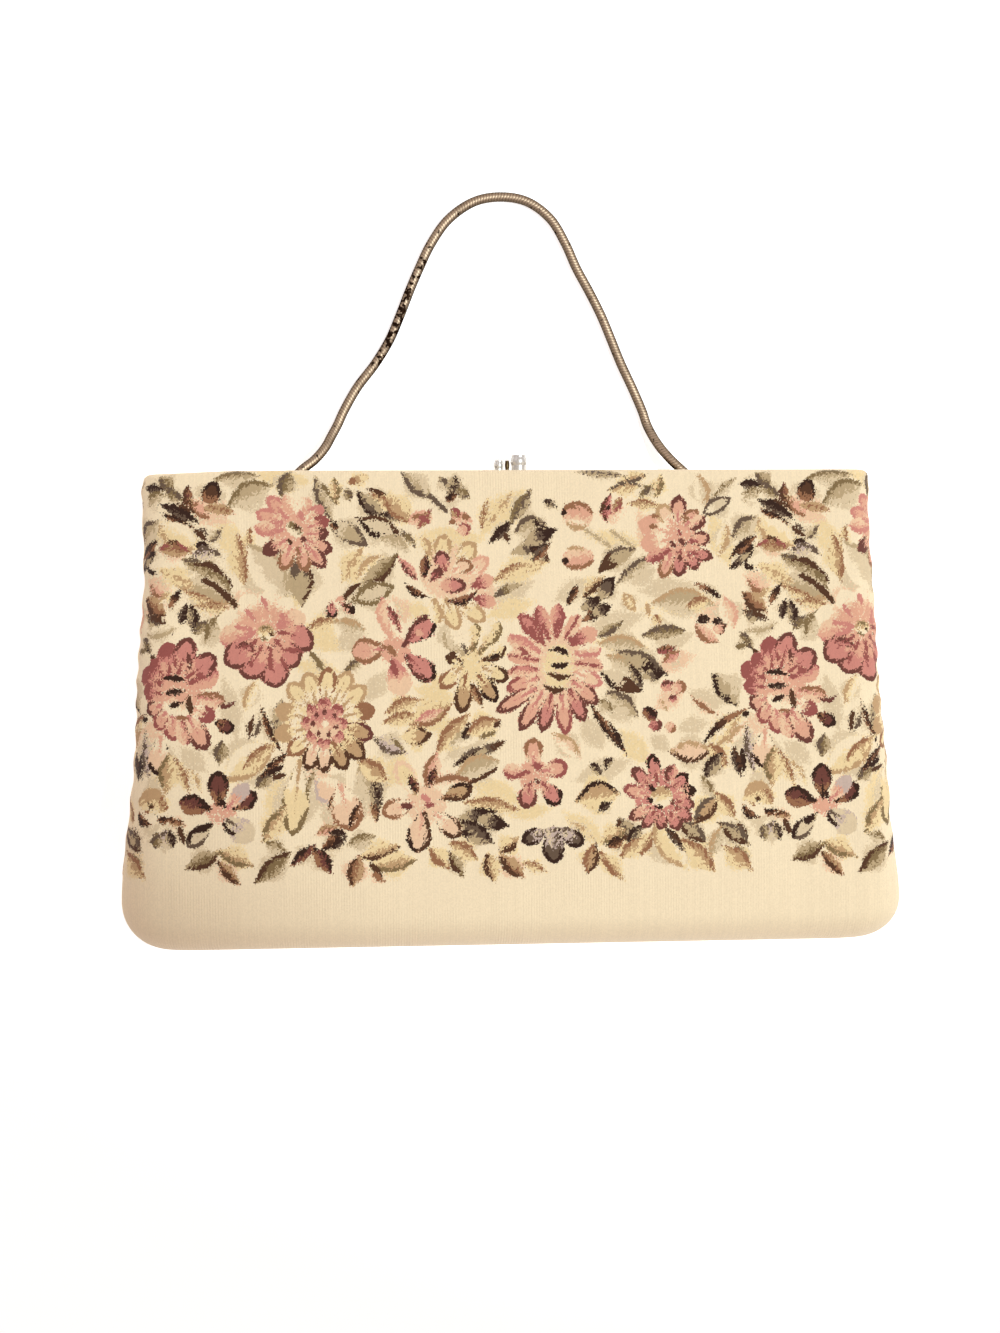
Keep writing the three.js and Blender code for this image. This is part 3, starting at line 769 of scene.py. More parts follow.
PETALS = """
-31 127.6 -24 129.6 6 0 oval peach
-30.8 129.6 -26 127.6 4 0 leaf salmon rust left
-28.2 126.2 -24.2 132 2.8 0 leaf rust wine vein
-18.6 128.4 -12 127.4 6 0 oval peach
-18.4 132.2 -15.8 129.4 2.8 0 leaf rust wine left
-15.6 129.8 -12.4 129.4 2 0 leaf rust
-16.8 124.8 -12.4 126.8 4.2 0 leaf salmon wine rim
-19.2 128.8 -17 127.4 1.8 0 leaf rust
29.6 129 33.4 132 4.4 0 oval peach
28.4 127.2 29.8 136.2 3.2 .9 leaf wine umber left
30.6 130.4 33 135.4 2.6 0 leaf rust wine right
54.2 97.6 61.8 91.4 4.4 -.8 leaf salmon rust right
59.8 94.8 64.2 96.8 3.6 0 leaf salmon umber rim
43.6 78.6 47.8 79 3.6 0 oval rose plum left
46.8 77.4 51.2 79.2 3.8 0 oval salmon rust rim
45.8 74.4 48.6 75.8 2.4 0 leaf wine plum left
38.2 72.2 41.8 68.8 3.6 0 oval plum ink left
39.8 66.8 43.8 67.4 3.4 0 oval wine plum rim
43 74.8 45.2 71.4 2 0 leaf peach tan left
44.8 67.6 47.8 65.4 3 0 oval salmon rust rim
-66.5 128.5 -73 136 4.8 0 petal salmon rose rim
-67.5 127.4 -76.4 131.2 5 0 petal salmon rose rim
-67.5 125.8 -77 126.6 4.8 0 petal salmon rose left
-64.8 128.8 -67.6 136.6 4.8 0 petal peach salmon left
-63 128.6 -61.4 136 4.8 0 petal peach salmon right
-61.8 127.8 -56.6 133 4.6 0 petal peach rose tip
-61.5 126.4 -54.8 128.8 4.4 0 petal salmon wine tip
-61.5 124.6 -54.8 124.6 4 0 petal salmon plum tip
-62 123 -53.8 119.4 4.4 0 petal salmon plum rim
-62.6 122 -55.8 114.4 4.8 0 petal salmon plum rim
-64 121.6 -61.4 113.4 4.4 0 petal salmon rust rim
-66 121.6 -68.8 113.8 4.8 0 petal salmon rust rim
-67 123.2 -74.4 118.8 4.8 0 petal salmon plum tip
-76 97.5 -88 99.6 8 0 petal peach salmon base
-76 96 -87.4 93.6 7.5 0 petal salmon rose left
-75 98.5 -80.4 106.6 6.6 0 petal peach salmon base
-73.6 98.8 -73.2 108 5.6 0 petal peach salmon base
-72 98.4 -66.2 105.4 6.6 0 petal peach salmon base
-71 97 -62 100.4 6.6 0 petal salmon rose base
-70.6 95.6 -59.6 91.2 8 1 petal rose plum rim
-71 93.6 -64.2 85.6 8 0 petal rose plum rim
-72.6 92 -70.4 79.2 9 0 petal rose plum rim
-74.6 92 -79.8 82 9 0 petal rose plum rim
-76 93.4 -85.6 86.2 8.4 0 petal rose plum rim
-103.6 80 -111.4 84.6 6.4 0 petal rose wine tip
-103 82 -107.6 88 5.6 0 petal rose wine tip
-97 80.4 -87.6 84 7 0 petal rose wine left
-102 83 -102.4 93.2 6.6 0 petal rose wine tip
-97.6 82 -88.4 88.8 7 0 petal rose plum rim
-99.6 83 -96 94.4 6.8 0 petal rose plum rim
-104 78 -110.8 78.6 5.6 0 petal rose wine tip
-104 75 -109 72.2 5.4 0 petal salmon plum rim
-102.6 73.4 -105.8 67.4 5.4 0 petal salmon wine rim
-101 72.6 -100.8 64.2 5.8 0 petal salmon wine rim
-99 72 -96.6 62.8 5.4 0 petal salmon wine left
-97 72 -91 61.4 6.4 0 petal salmon plum rim
-96 74 -88.6 70.4 5.4 0 petal peach wine tip
-94.6 77.4 -85.6 75 4.8 0 petal salmon rust left
-89 70 -83.2 66.8 4.2 0 petal plum ink rim
-36.4 92.5 -38.6 105.4 6.6 0 petal peach salmon left
-36 88 -33.4 76.6 7.4 0 petal salmon rose base
-38.4 90.6 -48.4 89.4 8 0 petal salmon rust ring
-33 92 -23.4 99.4 6.8 0 petal rose ink rim plum left
-33 89 -23.8 81.4 6.8 0 petal rose ink rim plum right
-22 115 -20.4 124.4 5.6 0 petal straw tan rim
-17 115.4 -11.4 121.6 6 0 petal straw tan rim
-25 114.6 -27.4 124 4.6 0 petal straw tan right
-14 112 -7.4 117.4 4.8 0 petal peach salmon rim
-20.6 106 -17 95.8 5.6 0 petal straw tan rim
-17 104.4 -8.6 98.4 5.4 0 petal straw tan rim
-24 106 -23 97.6 4.6 0 petal straw tan left
-13 108.4 -6 111.4 4.4 0 petal rose wine base
-12.6 105.4 -5.4 103.4 4 0 petal rose wine base
-28.6 110.4 -34.2 117.6 3 0 leaf rose plum left
-26.8 110.8 -26 118.8 3 0 leaf plum ink right
-20 112.6 -22.2 119.4 4.8 0 petal rose plum rim
-18.6 112.8 -12 115 4.6 .8 petal peach rust rim
-25 110 -21.4 114 3 0 petal wine plum rim
-21.8 109 -14.2 109 4.8 0 oval rose plum rim
-20.2 104.4 -11 107.4 2.8 -1.4 leaf plum ink right
-32.6 109.8 -25.2 105.6 2.4 -.9 leaf umber ink right
8.4 88.8 -2.4 93.6 4.6 0 petal salmon rose right
8 86.4 -2.4 88.4 4.2 0 petal salmon wine vein
7.8 84 -2.6 83 4.2 0 petal salmon wine right
7.6 82 -3 78 4.6 0 petal salmon wine rim
7 79 -6 71.6 4.8 0 petal salmon plum rim
8.6 78.4 1 66 5 0 petal salmon plum rim
9.4 90.6 1.6 100.6 4.8 0 petal rose wine ring
10.6 92 7 103 4.6 0 petal rose wine left
12.4 92.6 13.2 103.6 4.6 0 petal rose wine right
14.6 92.4 19.6 100.2 4.2 0 petal salmon wine vein
16 91 24.6 95.4 5.4 0 petal rose wine base
17 88.6 26 90 4.6 0 petal peach rose right
17 86 26.4 84.6 4.6 0 petal salmon wine vein
17 83.4 26 79.4 4.8 0 petal peach rose rim
16.6 81 24.6 73.6 5 0 petal salmon plum rim
15.6 78.8 20.6 68.4 4.8 0 petal rose plum rim
13.6 77.6 14.8 64.8 5 0 petal salmon wine rim
11 77.6 7.6 65.6 4.8 0 petal rose plum rim
-14.6 88 -20.8 95.4 6 0 petal pale sage left
-13 89 -12 98 6 0 petal straw olive right
-11.6 88 -4.4 98.4 5.8 0 petal straw olive right
-10.6 86.4 -2.6 91 5 0 petal straw umber right
-10.4 85 -2 81.2 5 0 petal straw umber rim
-15.6 85 -22.4 79 5 0 petal straw rust rim
-14.6 83.6 -16.2 71.2 5.4 0 petal tan umber rim
-11.6 83.4 -5.6 74.6 5 0 petal tan ink rim
-15.4 87 -20.6 88 4 0 petal straw umber tip
-13.4 80.6 -9.8 72.8 2.8 0 leaf rust umber left
-61.4 67.4 -71.4 65.4 6 0 petal straw tan tip
-61.4 70 -71 73.2 6 0 petal straw tan tip
-60 73 -67.4 80.6 6 0 petal straw tan rim
-58.6 74 -61.8 83.8 6 0 petal straw tan rim
-54.4 74 -48.8 84 6 0 petal straw tan rim
-56.4 74.4 -55 85.4 5.8 0 petal straw rust rim
-52.6 72.6 -44.2 79.6 6.2 0 petal straw tan rim
-51.6 70.6 -41.6 72.8 6 0 petal straw rust tip
-51.8 68 -42.2 64.8 5.8 0 petal tan plum rim
-52.6 66 -44.8 58.2 5.8 0 petal tan umber rim
-60.4 65.4 -67.4 59.8 5.4 0 petal straw rust rim
-54.4 64.4 -50.4 55 5.4 0 petal tan umber rim
-58.6 64.4 -61.8 55.2 5.2 0 petal peach umber rim
-56.6 64 -56.8 54.2 5 0 petal peach umber rim
-29.4 47 -35.2 57.6 6.2 0 petal straw peach rim
-27 49 -23.2 60.8 5 0 leaf salmon rust left
-30 45.4 -40 42.4 6.2 0 petal peach rust rim
-22.6 46.2 -13.2 49.8 5.4 0 petal tan ink rim umber right
-24.8 42.8 -16.8 35.2 6.2 0 petal peach umber rim
-27.6 43.6 -30 30.6 7.4 0 petal peach ink rim umber left
-25.8 50 -24 55.6 2.8 0 leaf plum
-29.4 48 -31.6 53.6 2.8 0 leaf plum
5 55 5 64 5.8 0 petal salmon rust rim
7 54 15.2 55.4 5.8 0 petal salmon wine rim
3 53.4 -4.2 54.6 5 0 petal salmon wine left
4 51.4 2.4 43.2 5.8 0 petal rose plum rim
7 51.4 12.6 44.2 5.6 0 petal rose ink rim
42 49.6 40.2 58.8 4.2 0 petal rose ink rim
44.6 49.6 47 55.4 4 0 petal rose plum left
46 48.6 51.2 52.6 4.2 0 petal rose ink rim
47 46.8 53.6 48 3.8 0 petal salmon ink tip
47 45 53 43.2 3.8 0 petal rose plum rim
46.4 43.4 52 39 3.8 0 petal rose plum rim
45 42.4 48.2 36 4 0 petal rose plum rim
43.4 42 42.4 36.4 3.6 0 petal rose plum rim
41.4 42.6 37.4 37 4 0 petal rose plum rim
40 43.6 33.2 39.8 4 0 petal salmon plum rim
39.6 46.4 31.6 48.8 4.2 0 petal salmon wine rim
40.4 48.4 34.4 54.8 4 0 petal rose plum rim
48 124 38.2 127.8 7 0 petal peach salmon tip
47.6 122.4 38.6 121 6.4 0 petal peach salmon tip
49 126 44.4 133 5.4 0 petal peach tan rim
50 127 50.6 135.8 5 0 petal salmon plum rim
52 126 56 131.4 4.6 0 petal salmon rust rim
53 124.6 58.4 129.4 3.8 0 petal salmon plum right
52.6 121.8 59.8 123 4.8 0 petal salmon plum rim
53.4 118.8 60.4 116.8 3.8 0 petal rose plum rim
52.6 118.6 55.6 113.2 3.8 0 petal rose plum rim
50.4 119.6 49.8 111.2 5 0 petal rose plum rim
48 119 44.6 110.8 4.4 0 petal salmon rust rim
48 119.6 40.2 116.2 3.8 0 petal rose wine left
15 130.8 24.4 129.6 7.6 0 oval salmon rust left
15.4 128 23.6 126.8 3.4 -.6 leaf peach tan right
14.8 116.2 24.4 117.4 6.8 0 oval salmon rust right
-87.4 44.4 -88 55.4 6.4 0 petal plum ink rim
-89.4 44 -99.2 46.4 6.4 0 petal plum ink right
-84.4 43.6 -76.6 48.8 5.8 0 petal plum ink rim
-86 41.6 -77.6 35 7.6 0 petal lilac pale tip
-89.4 40.4 -97 33 5.4 0 petal pale slate rim ink right
-86 43.4 -79 51.4 4.6 0 petal salmon lilac tip
9.4 37 1.2 33.4 5 0 petal lilac slate tip ink rim
12 37.6 19.6 32.2 5.4 0 petal lilac slate tip ink rim
10.4 38.4 10.8 26.8 6.8 0 petal lilac slate tip ink rim
"""
DETAILS = """
-27.8 129.8 -24.8 127.8 2 0 oval wine
55.2 97.8 59.2 98.6 2.6 .4 oval ink
59.8 97.4 62.8 98.4 2.1 0 oval ink
41 115.6 45.6 117.6 1.9 0 leaf wine
28.6 131 29.4 133 1.2 0 leaf ink
-67.4 127.8 -62.8 124 3.4 0 oval pale olive left
-65.6 127.2 -62.8 126 .8 0 bar umber
-67 123 -66 121.6 1 0 bar umber
-63.2 123.6 -61.6 122.4 1.2 0 bar plum
-63.8 131.4 -62.2 128.4 2 0 drop rose
-59 129.6 -56.4 129.4 1.2 0 bar wine
-70 132.6 -67.6 129.4 .9 0 bar rose
-72.6 128.4 -68.4 127 .8 0 bar rose
-64.4 121 -63.4 117 1 0 bar rust
-60.6 120.4 -58 117 1 0 bar rose
-82.6 91.4 -76.4 89.4 2.6 1 drop wine
-83 97.4 -77.4 96.4 1.4 0 bar rose
-82.4 93 -77.4 94.8 1.3 0 bar rose
-80 103 -76.4 98.4 1.6 0 leaf rose
-75 106.4 -73 102 1.8 0 leaf rose
-69.4 101.6 -68 98.8 1.4 0 leaf rose
-68.8 90.8 -62.6 89.8 1.7 0 leaf wine
-73 89.4 -72 83.6 1.5 0 leaf wine
-69.8 88.6 -67 84 1.3 0 leaf wine
-77.6 88 -78.6 84.4 1.2 0 leaf wine
-76.2 95.6 -70.8 95.6 4.4 0 oval straw
-75.2 96.8 -72 96.4 .8 .4 bar olive
-75.4 94.2 -73 93.2 .8 0 bar olive
-73 95.4 -71.6 94.8 .8 0 bar umber
-103.6 76 -95 74 8 0 oval peach
-104.8 82.2 -96.4 81.2 1.9 .8 leaf ink
-103.8 78.2 -97.4 78.6 2.1 0 leaf ink
-102.6 73.8 -97.8 75.6 1.8 0 leaf ink
-96.6 77.6 -95.4 71.2 2 0 leaf umber
-100.6 71.4 -96 70.4 1.4 0 leaf rust
-94.6 83.6 -91 82.4 2 0 leaf wine
-100.6 89 -100 85 1.2 0 leaf wine
-96.8 90 -95.6 85 1.4 0 leaf plum
-106 82 -104 80 1.6 0 leaf wine
-88 74.2 -82.4 75.4 1.6 -.8 leaf plum
-38 103.6 -34.4 96 2.2 .3 leaf wine
-36.8 88 -35 81.6 2 0 leaf wine
-34 91 -31.4 92.4 1.4 0 leaf plum
-45.4 92.8 -38 90.6 1 .8 bar rust
-46 87 -39.6 88.6 1 -.6 bar rust
-38 91.4 -35 88.4 2 0 oval rust
-29.6 95.6 -27 94.4 2 0 drop salmon
10 89.8 17 87.6 1.8 1 leaf ink
9.8 85.8 16.8 86.2 1.9 -1 leaf ink
9 83.6 17.4 82.4 1.9 -1.3 leaf umber
7.6 80.2 16.4 78.8 2 -1.7 leaf umber
13.4 99.4 11.6 93.6 1.8 0 leaf wine
4 97.4 7.4 92.4 1.6 0 leaf wine
0.6 91 5 87.4 1.6 0 leaf wine
16 93.6 18.6 91 1.8 0 drop wine
-.6 84.6 5 84.4 1.4 0 leaf rose
-16 92.4 -13.8 88.4 1.2 0 leaf slate
-19.2 88.6 -15.4 85.4 1 .5 bar umber
-8 87.4 -4.6 88.4 1.4 0 leaf ink
-58.6 74.2 -54.4 74.2 3.8 0 oval rose
-54.6 72.6 -50.8 72.2 3.8 0 oval rose
-53.2 68.8 -49.8 68.4 3.8 0 oval rose
-54.6 65.2 -50.8 64.6 3.8 0 oval rose
-58.6 63 -54.8 63 3.8 0 oval rose
-62 65 -58.6 65 3.8 0 oval rose
-63.4 68.8 -60 68.8 3.8 0 oval rose
-62 72.4 -58.4 72.6 3.8 0 oval rose
-61 68.6 -52 68.6 9 0 oval salmon
-57.2 72.2 -55.8 72.2 1.5 0 oval plum
-54.4 70.8 -53 70.8 1.5 0 oval plum
-54 67.6 -52.6 67.6 1.5 0 oval plum
-56 65.4 -54.6 65.4 1.5 0 oval plum
-59 65.8 -57.6 65.8 1.5 0 oval plum
-60.6 68.6 -59.2 68.6 1.5 0 oval plum
-59.6 71.2 -58.2 71.2 1.5 0 oval plum
-57.4 68.6 -55.4 68.6 2 0 oval ground
-34.6 44.8 -30.4 44 2 0 leaf plum
-28.6 47.6 -25.4 45.6 1.8 0 oval rose
-27.6 44.4 -24.4 44.8 1.2 0 bar wine
5 56.4 7.4 54.4 2 0 oval wine
2 54.4 4 53.4 1.2 0 bar wine
5.4 52 6.6 50.6 1.2 0 bar plum
39.8 46 46.4 46 6.4 0 oval straw
39.4 49.8 40.8 47.6 1.2 0 bar ink
38.8 45.8 40.2 44.4 1.2 0 bar ink
41.2 43.4 43.4 42.6 1.3 0 bar ink
45.6 43.6 46.8 44.6 1 0 bar plum
44 48.8 45.4 48.6 1 0 bar plum
50.4 122.6 52 120.2 1.3 0 bar plum
47.4 121.6 49.4 120 1.2 0 bar plum
50.2 125.4 50.6 123.4 1 0 bar wine
41 126.8 44 126 1.6 0 leaf rust
41.6 129.8 44.6 129.2 1.3 0 leaf rust
51.2 129.6 53.4 128.2 1.2 0 bar rust
53 122 56 121.4 1 0 bar wine
49.4 117 51.4 116.6 1.6 0 drop plum
14.6 130.6 16.4 130.8 1.8 0 oval ink
14.8 116.2 16.6 116.2 1.9 0 oval ink
16 133.4 20 131.4 1.2 0 leaf rust
16 119.6 21.6 119.6 1.4 .4 leaf tan
17 127 22 126.6 1.2 -.4 leaf tan
-93.4 37.2 -89.4 40.2 1.7 0 leaf ink
-86.4 41.4 -82.2 36.4 1.6 -1.2 leaf ink
-87 47.6 -85.6 43.6 1.4 0 leaf ink
8.6 36.8 4.4 35.2 2.6 0 leaf lilac
12.6 37.4 16.8 34.8 3 0 leaf lilac
10.2 38 10.6 31.4 4 0 drop lilac
"""


def section_at(up):
    """Half width, thickness, seam groove and side roll at distances up from the base.

    Each span of the table is a cubic blend of its two rows and the rows beyond them. Past an end of the table
    the span's own far row stands in for the missing one.
    """
    places = SECTIONS[:, 0]
    last = len(places) - 1
    far = np.clip(np.searchsorted(places, up, side="right"), 1, last)
    near = far - 1
    before = np.where(near > 0, near - 1, far)
    after = np.where(far < last, far + 1, near)
    span = places[far] - places[near]
    p = (up - places[near]) / span
    pull_in = 0.5 * span / (places[near] - places[before])
    pull_out = 0.5 * span / (places[after] - places[far])
    shares = (
        (before, pull_in * (2 * p**2 - p**3 - p)),
        (near, (1 + pull_in) * p**3 - (1.5 + 2 * pull_in) * p**2 + (pull_in - 0.5) * p + 1),
        (far, (1.5 + pull_out) * p**2 - (1 + pull_out) * p**3 + 0.5 * p),
        (after, pull_out * (p**3 - p**2)),
    )
    sizes = sum(SECTIONS[row, 1:] * share[..., None] for row, share in shares)
    return np.moveaxis(sizes, -1, 0)


def smooth_step(low, high, value):
    """Cubic ease from 0 at low to 1 at high."""
    t = np.clip((value - low) / (high - low), 0, 1)
    return t * t * (3 - 2 * t)


def swell_at(across, up, half, roll):
    """How far the front stands over its plain section: a cosine-squared crown less soft round hollows,
    both fading as half a sine wave towards the base and the mouth."""
    share = np.clip(np.abs(across) / (half - roll), 0, 1)
    swell = CROWN * np.cos(QUARTER_TURN * share) ** 2
    for middle, height, along, wide, turn, depth in HOLLOWS:
        angle = math.radians(turn)
        dx = across - middle
        dy = up - height
        length = (dx * math.cos(angle) + dy * math.sin(angle)) / along
        width = (dy * math.cos(angle) - dx * math.sin(angle)) / wide
        swell = swell - depth * np.exp(-length**2 - width**2)
    return swell * np.sin(math.pi * up / BODY_LENGTH)


def panel_surface(place, up, inset, side):
    """Points of a panel over a grid, and the cloth's own flat distance across it there.

    place runs from one seam over the middle, at 0, to the other seam. On each half its outer unit climbs the
    upright groove, the next turns over the rolled side as a quarter ellipse, and the inner one crosses the
    face. inset is the depth under the outside, and side is 1 for the front and -1 for the back. The base
    rolls down to the seam as a quarter ellipse, and its corners are round. The left end of the mouth droops,
    by a share that grows with the cube of the distance up.
    """
    half, thick, groove, roll = section_at(up)
    hand = np.where(place < 0, -1.0, 1.0)
    share = np.abs(place)
    corner = np.where(place < 0, CORNER_LEFT, CORNER_RIGHT)
    below = np.clip(corner - up, 0, None)
    edge = half - corner + np.sqrt(np.clip((corner - inset) ** 2 - below**2, 0, None))
    drop = np.clip(BASE_ROUND - up, 0, None) / (BASE_ROUND - inset)
    rise = (thick / 2 - SEAM_GAP / 2 - inset) * np.sqrt(np.clip(1 - drop**2, 0, None))
    shoulder = SHOULDER * rise
    bend = roll - inset
    face = edge - bend
    climb = np.clip(SEAM - share, 0, 1)
    angle = QUARTER_TURN * np.clip(ROLL_FOOT - share, 0, 1)
    dip = groove * 2 * rise / thick * (1 - climb) ** 2
    rolled = np.where(share > ROLL_FOOT, edge - dip, face + bend * np.cos(angle))
    across = hand * np.where(share > FACE_SIDE, rolled, face * share)
    turned = shoulder + (rise - shoulder) * np.sin(angle)
    height = np.where(share > ROLL_FOOT, shoulder * climb, turned)
    if side > 0:
        height = height + swell_at(across, up, half, roll) * (height / (thick / 2)) ** 2
    wrapped = face + bend * (QUARTER_TURN - angle) + shoulder * (1 - climb)
    flat_across = hand * np.where(share > FACE_SIDE, wrapped, face * share)
    droop = DROOP * smooth_step(DROOP_START, DROOP_START + DROOP_REACH, -across) * (up / BODY_LENGTH) ** 3
    lift = thick / 2 + side * (SEAM_GAP / 2 + height)
    return np.stack([across, up - ORIGIN_UP - droop, lift], -1), flat_across


def across_places():
    """Places across the outside, from seam to seam: up a groove, over a rolled side, across the face, and
    down the other side."""
    groove = np.linspace(-SEAM, -ROLL_FOOT, GROOVE_STEPS, endpoint=False)
    roll = np.linspace(-ROLL_FOOT, -FACE_SIDE, ROLL_STEPS, endpoint=False)
    face = np.linspace(-FACE_SIDE, FACE_SIDE, FACE_STEPS + 1)
    return np.concatenate([groove, roll, face, -roll[::-1], -groove[::-1]])


def outer_rows():
    """Distance up, depth and flat cloth length of each row of the outside: round the base, up the face,
    and round the turned hem to its inner side."""
    base = np.linspace(0, QUARTER_TURN, BASE_STEPS, endpoint=False)
    band = np.linspace(BASE_ROUND, BAND_TOP, BAND_STEPS, endpoint=False)
    field = np.linspace(BAND_TOP, BODY_LENGTH - HEM_RADIUS, FIELD_STEPS, endpoint=False)
    bead = np.linspace(0, math.pi, BEAD_STEPS + 1)
    base_up = BASE_ROUND * (1 - np.cos(base))
    bead_up = BODY_LENGTH - HEM_RADIUS * (1 - np.sin(bead))
    base_length = BASE_ROUND * (1 + base - QUARTER_TURN)
    bead_length = BODY_LENGTH - HEM_RADIUS * (1 - bead)
    up = np.concatenate([base_up, band, field, bead_up])
    length = np.concatenate([base_length, band, field, bead_length])
    bead_inset = HEM_RADIUS * (1 - np.cos(bead))
    inset = np.concatenate([np.zeros(len(up) - len(bead)), bead_inset])
    return up, inset, length


def inner_rows():
    """Distance up and depth of each row of the inside, from under the hem down to the base seam. The straight
    part's rows lie closer towards its ends, and the base is a quarter turn."""
    share = np.linspace(0, 1, INNER_ROWS)
    down = smooth_step(0, 1, share) * INNER_EASE + share * (1 - INNER_EASE)
    top = BODY_LENGTH - INNER_TOP
    straight = top + (BASE_ROUND - top) * down
    hem_share = smooth_step(BODY_LENGTH - HEM_RISE, BODY_LENGTH - HEM_RADIUS, straight)
    inset = WALL + (2 * HEM_RADIUS - WALL) * hem_share
    turn = np.linspace(QUARTER_TURN, 0, BASE_STEPS)[1:]
    up = np.concatenate([straight, WALL + (BASE_ROUND - WALL) * (1 - np.cos(turn))])
    return up, np.concatenate([inset, np.full(len(turn), WALL)])


def grid_normals(points):
    """Unit normals of a grid surface, from the cross product of its steps along rows and columns."""
    along = np.gradient(points, axis=1)
    upward = np.gradient(points, axis=0)
    normal = np.cross(along, upward)
    length = np.linalg.norm(normal, axis=-1, keepdims=True)
    return normal / np.maximum(length, TINY)


def slack_at(flat_across, length):
    """Height of the front's slack: a few crossed sine ripples over the face, and puckers beside the seams."""
    rng = np.random.default_rng(SEED)
    slack = np.zeros_like(flat_across)
    for height, wave, turn in RIPPLES:
        angle = math.radians(turn)
        course = flat_across * math.cos(angle) + length * math.sin(angle)
        slack += height * np.sin(math.tau * (course / wave + rng.uniform()))
    left_start, right_start = rng.uniform(0, 1, 2)
    start = np.where(flat_across < 0, left_start, right_start)
    drift = PUCKER_DRIFT * np.sin(length / PUCKER_DRIFT_LENGTH)
    pucker = np.sin(math.tau * (length / PUCKER_PITCH + start + drift))
    beside = smooth_step(*PUCKER_ACROSS, np.abs(flat_across)) * smooth_step(*PUCKER_UP, length)
    return slack * smooth_step(*RIPPLE_UP, length) + PUCKER * pucker * beside


def front_relief(place, flat_across, length, ground):
    """Height of the front's raised motifs and slack, fading out towards the base, the hem and the seams."""
    raised = smooth_step(-MOTIF_EDGE, MOTIF_EDGE, -ground)
    fade = smooth_step(0, RELIEF_FADE, length)
    fade = fade * (1 - smooth_step(BODY_LENGTH - RELIEF_FADE, BODY_LENGTH, length))
    fade = fade * smooth_step(0, 1, SEAM - np.abs(place))
    return (MOTIF_RELIEF * raised + slack_at(flat_across, length)) * fade


def panel_outside(place, side, weave_start):
    """The outside of a panel over a grid: its points, the cloth's coordinates and the threads' fields at
    each, and the flat length of each row. The front's relief stands out along its normals."""
    up, inset, length = outer_rows()
    place_grid, length_grid = np.meshgrid(place, length)
    points, flat_across = panel_surface(*np.meshgrid(place, up), inset[:, None], side)
    weave = np.stack([weave_start + side * flat_across, length_grid, 0 * place_grid], -1)
    fields = paint_threads(weave[..., 0].ravel(), weave[..., 1].ravel())
    if side > 0:
        relief = front_relief(place_grid, flat_across, length_grid, fields[0].reshape(place_grid.shape))
        points = points + grid_normals(points) * relief[..., None]
    return points, weave, fields, length


def grid_triangles(index):
    """Two triangles for each cell of a grid of vertex numbers."""
    a = index[:-1, :-1].ravel()
    b = index[:-1, 1:].ravel()
    c = index[1:, 1:].ravel()
    d = index[1:, :-1].ravel()
    return np.concatenate([np.stack([a, b, c], 1), np.stack([a, c, d], 1)])


def strip_triangles(line, line_share, other, other_share):
    """Triangles between two lines of vertices with different counts, each advancing by its share along."""
    reach = np.searchsorted(other_share[1:], line_share[1:], side="left")
    back = np.searchsorted(line_share[1:], other_share[1:], side="right")
    mine = np.stack([line[:-1], line[1:], other[reach]], 1)
    theirs = np.stack([other[1:], other[:-1], line[back]], 1)
    return np.concatenate([mine, theirs])


def tube_triangles(rows, sides):
    """Triangles of rings of vertices numbered ring by ring, and fans that close the two ends, each round a
    vertex numbered after the rings."""
    index = np.arange(rows * sides).reshape(rows, sides)
    closed = np.concatenate([index, index[:, :1]], 1)
    start = np.full(sides, index.size)
    end = start + 1
    return np.concatenate([
        grid_triangles(closed),
        np.stack([closed[0, 1:], closed[0, :-1], start], 1),
        np.stack([closed[-1, :-1], closed[-1, 1:], end], 1),
    ])


def shares_along(values):
    """Rising values as shares of their whole rise."""
    return (values - values[0]) / np.ptp(values)


def welded(points, triangles):
    """Merges vertices that lie together: the numbers of the vertices kept, the triangles between them, and
    which triangles still have three corners."""
    keys = np.round(points / WELD).astype(np.int64)
    _, kept, merged = np.unique(keys, axis=0, return_index=True, return_inverse=True)
    triangles = merged.reshape(-1)[triangles]
    a, b, c = triangles.T
    return kept, triangles, (a != b) & (b != c) & (c != a)


def new_piece(name, points, triangles):
    """A smooth-shaded mesh object at the origin from points in millimetres and corner numbers."""
    mesh = bpy.data.meshes.new(name)
    mesh.from_pydata((points * MM).tolist(), [], triangles.tolist())
    mesh.polygons.foreach_set("use_smooth", np.ones(len(triangles), dtype=bool))
    piece = bpy.data.objects.new(name, mesh)
    bpy.context.scene.collection.objects.link(piece)
    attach(piece, "root")
    return piece


def add_attribute(piece, name, kind, values):
    """Stores one vector or colour for each vertex of a piece."""
    layer = piece.data.attributes.new(name, kind, "POINT")
    key = "color" if kind == "FLOAT_COLOR" else "vector"
    layer.data.foreach_set(key, np.ascontiguousarray(values, dtype=np.float32).ravel())


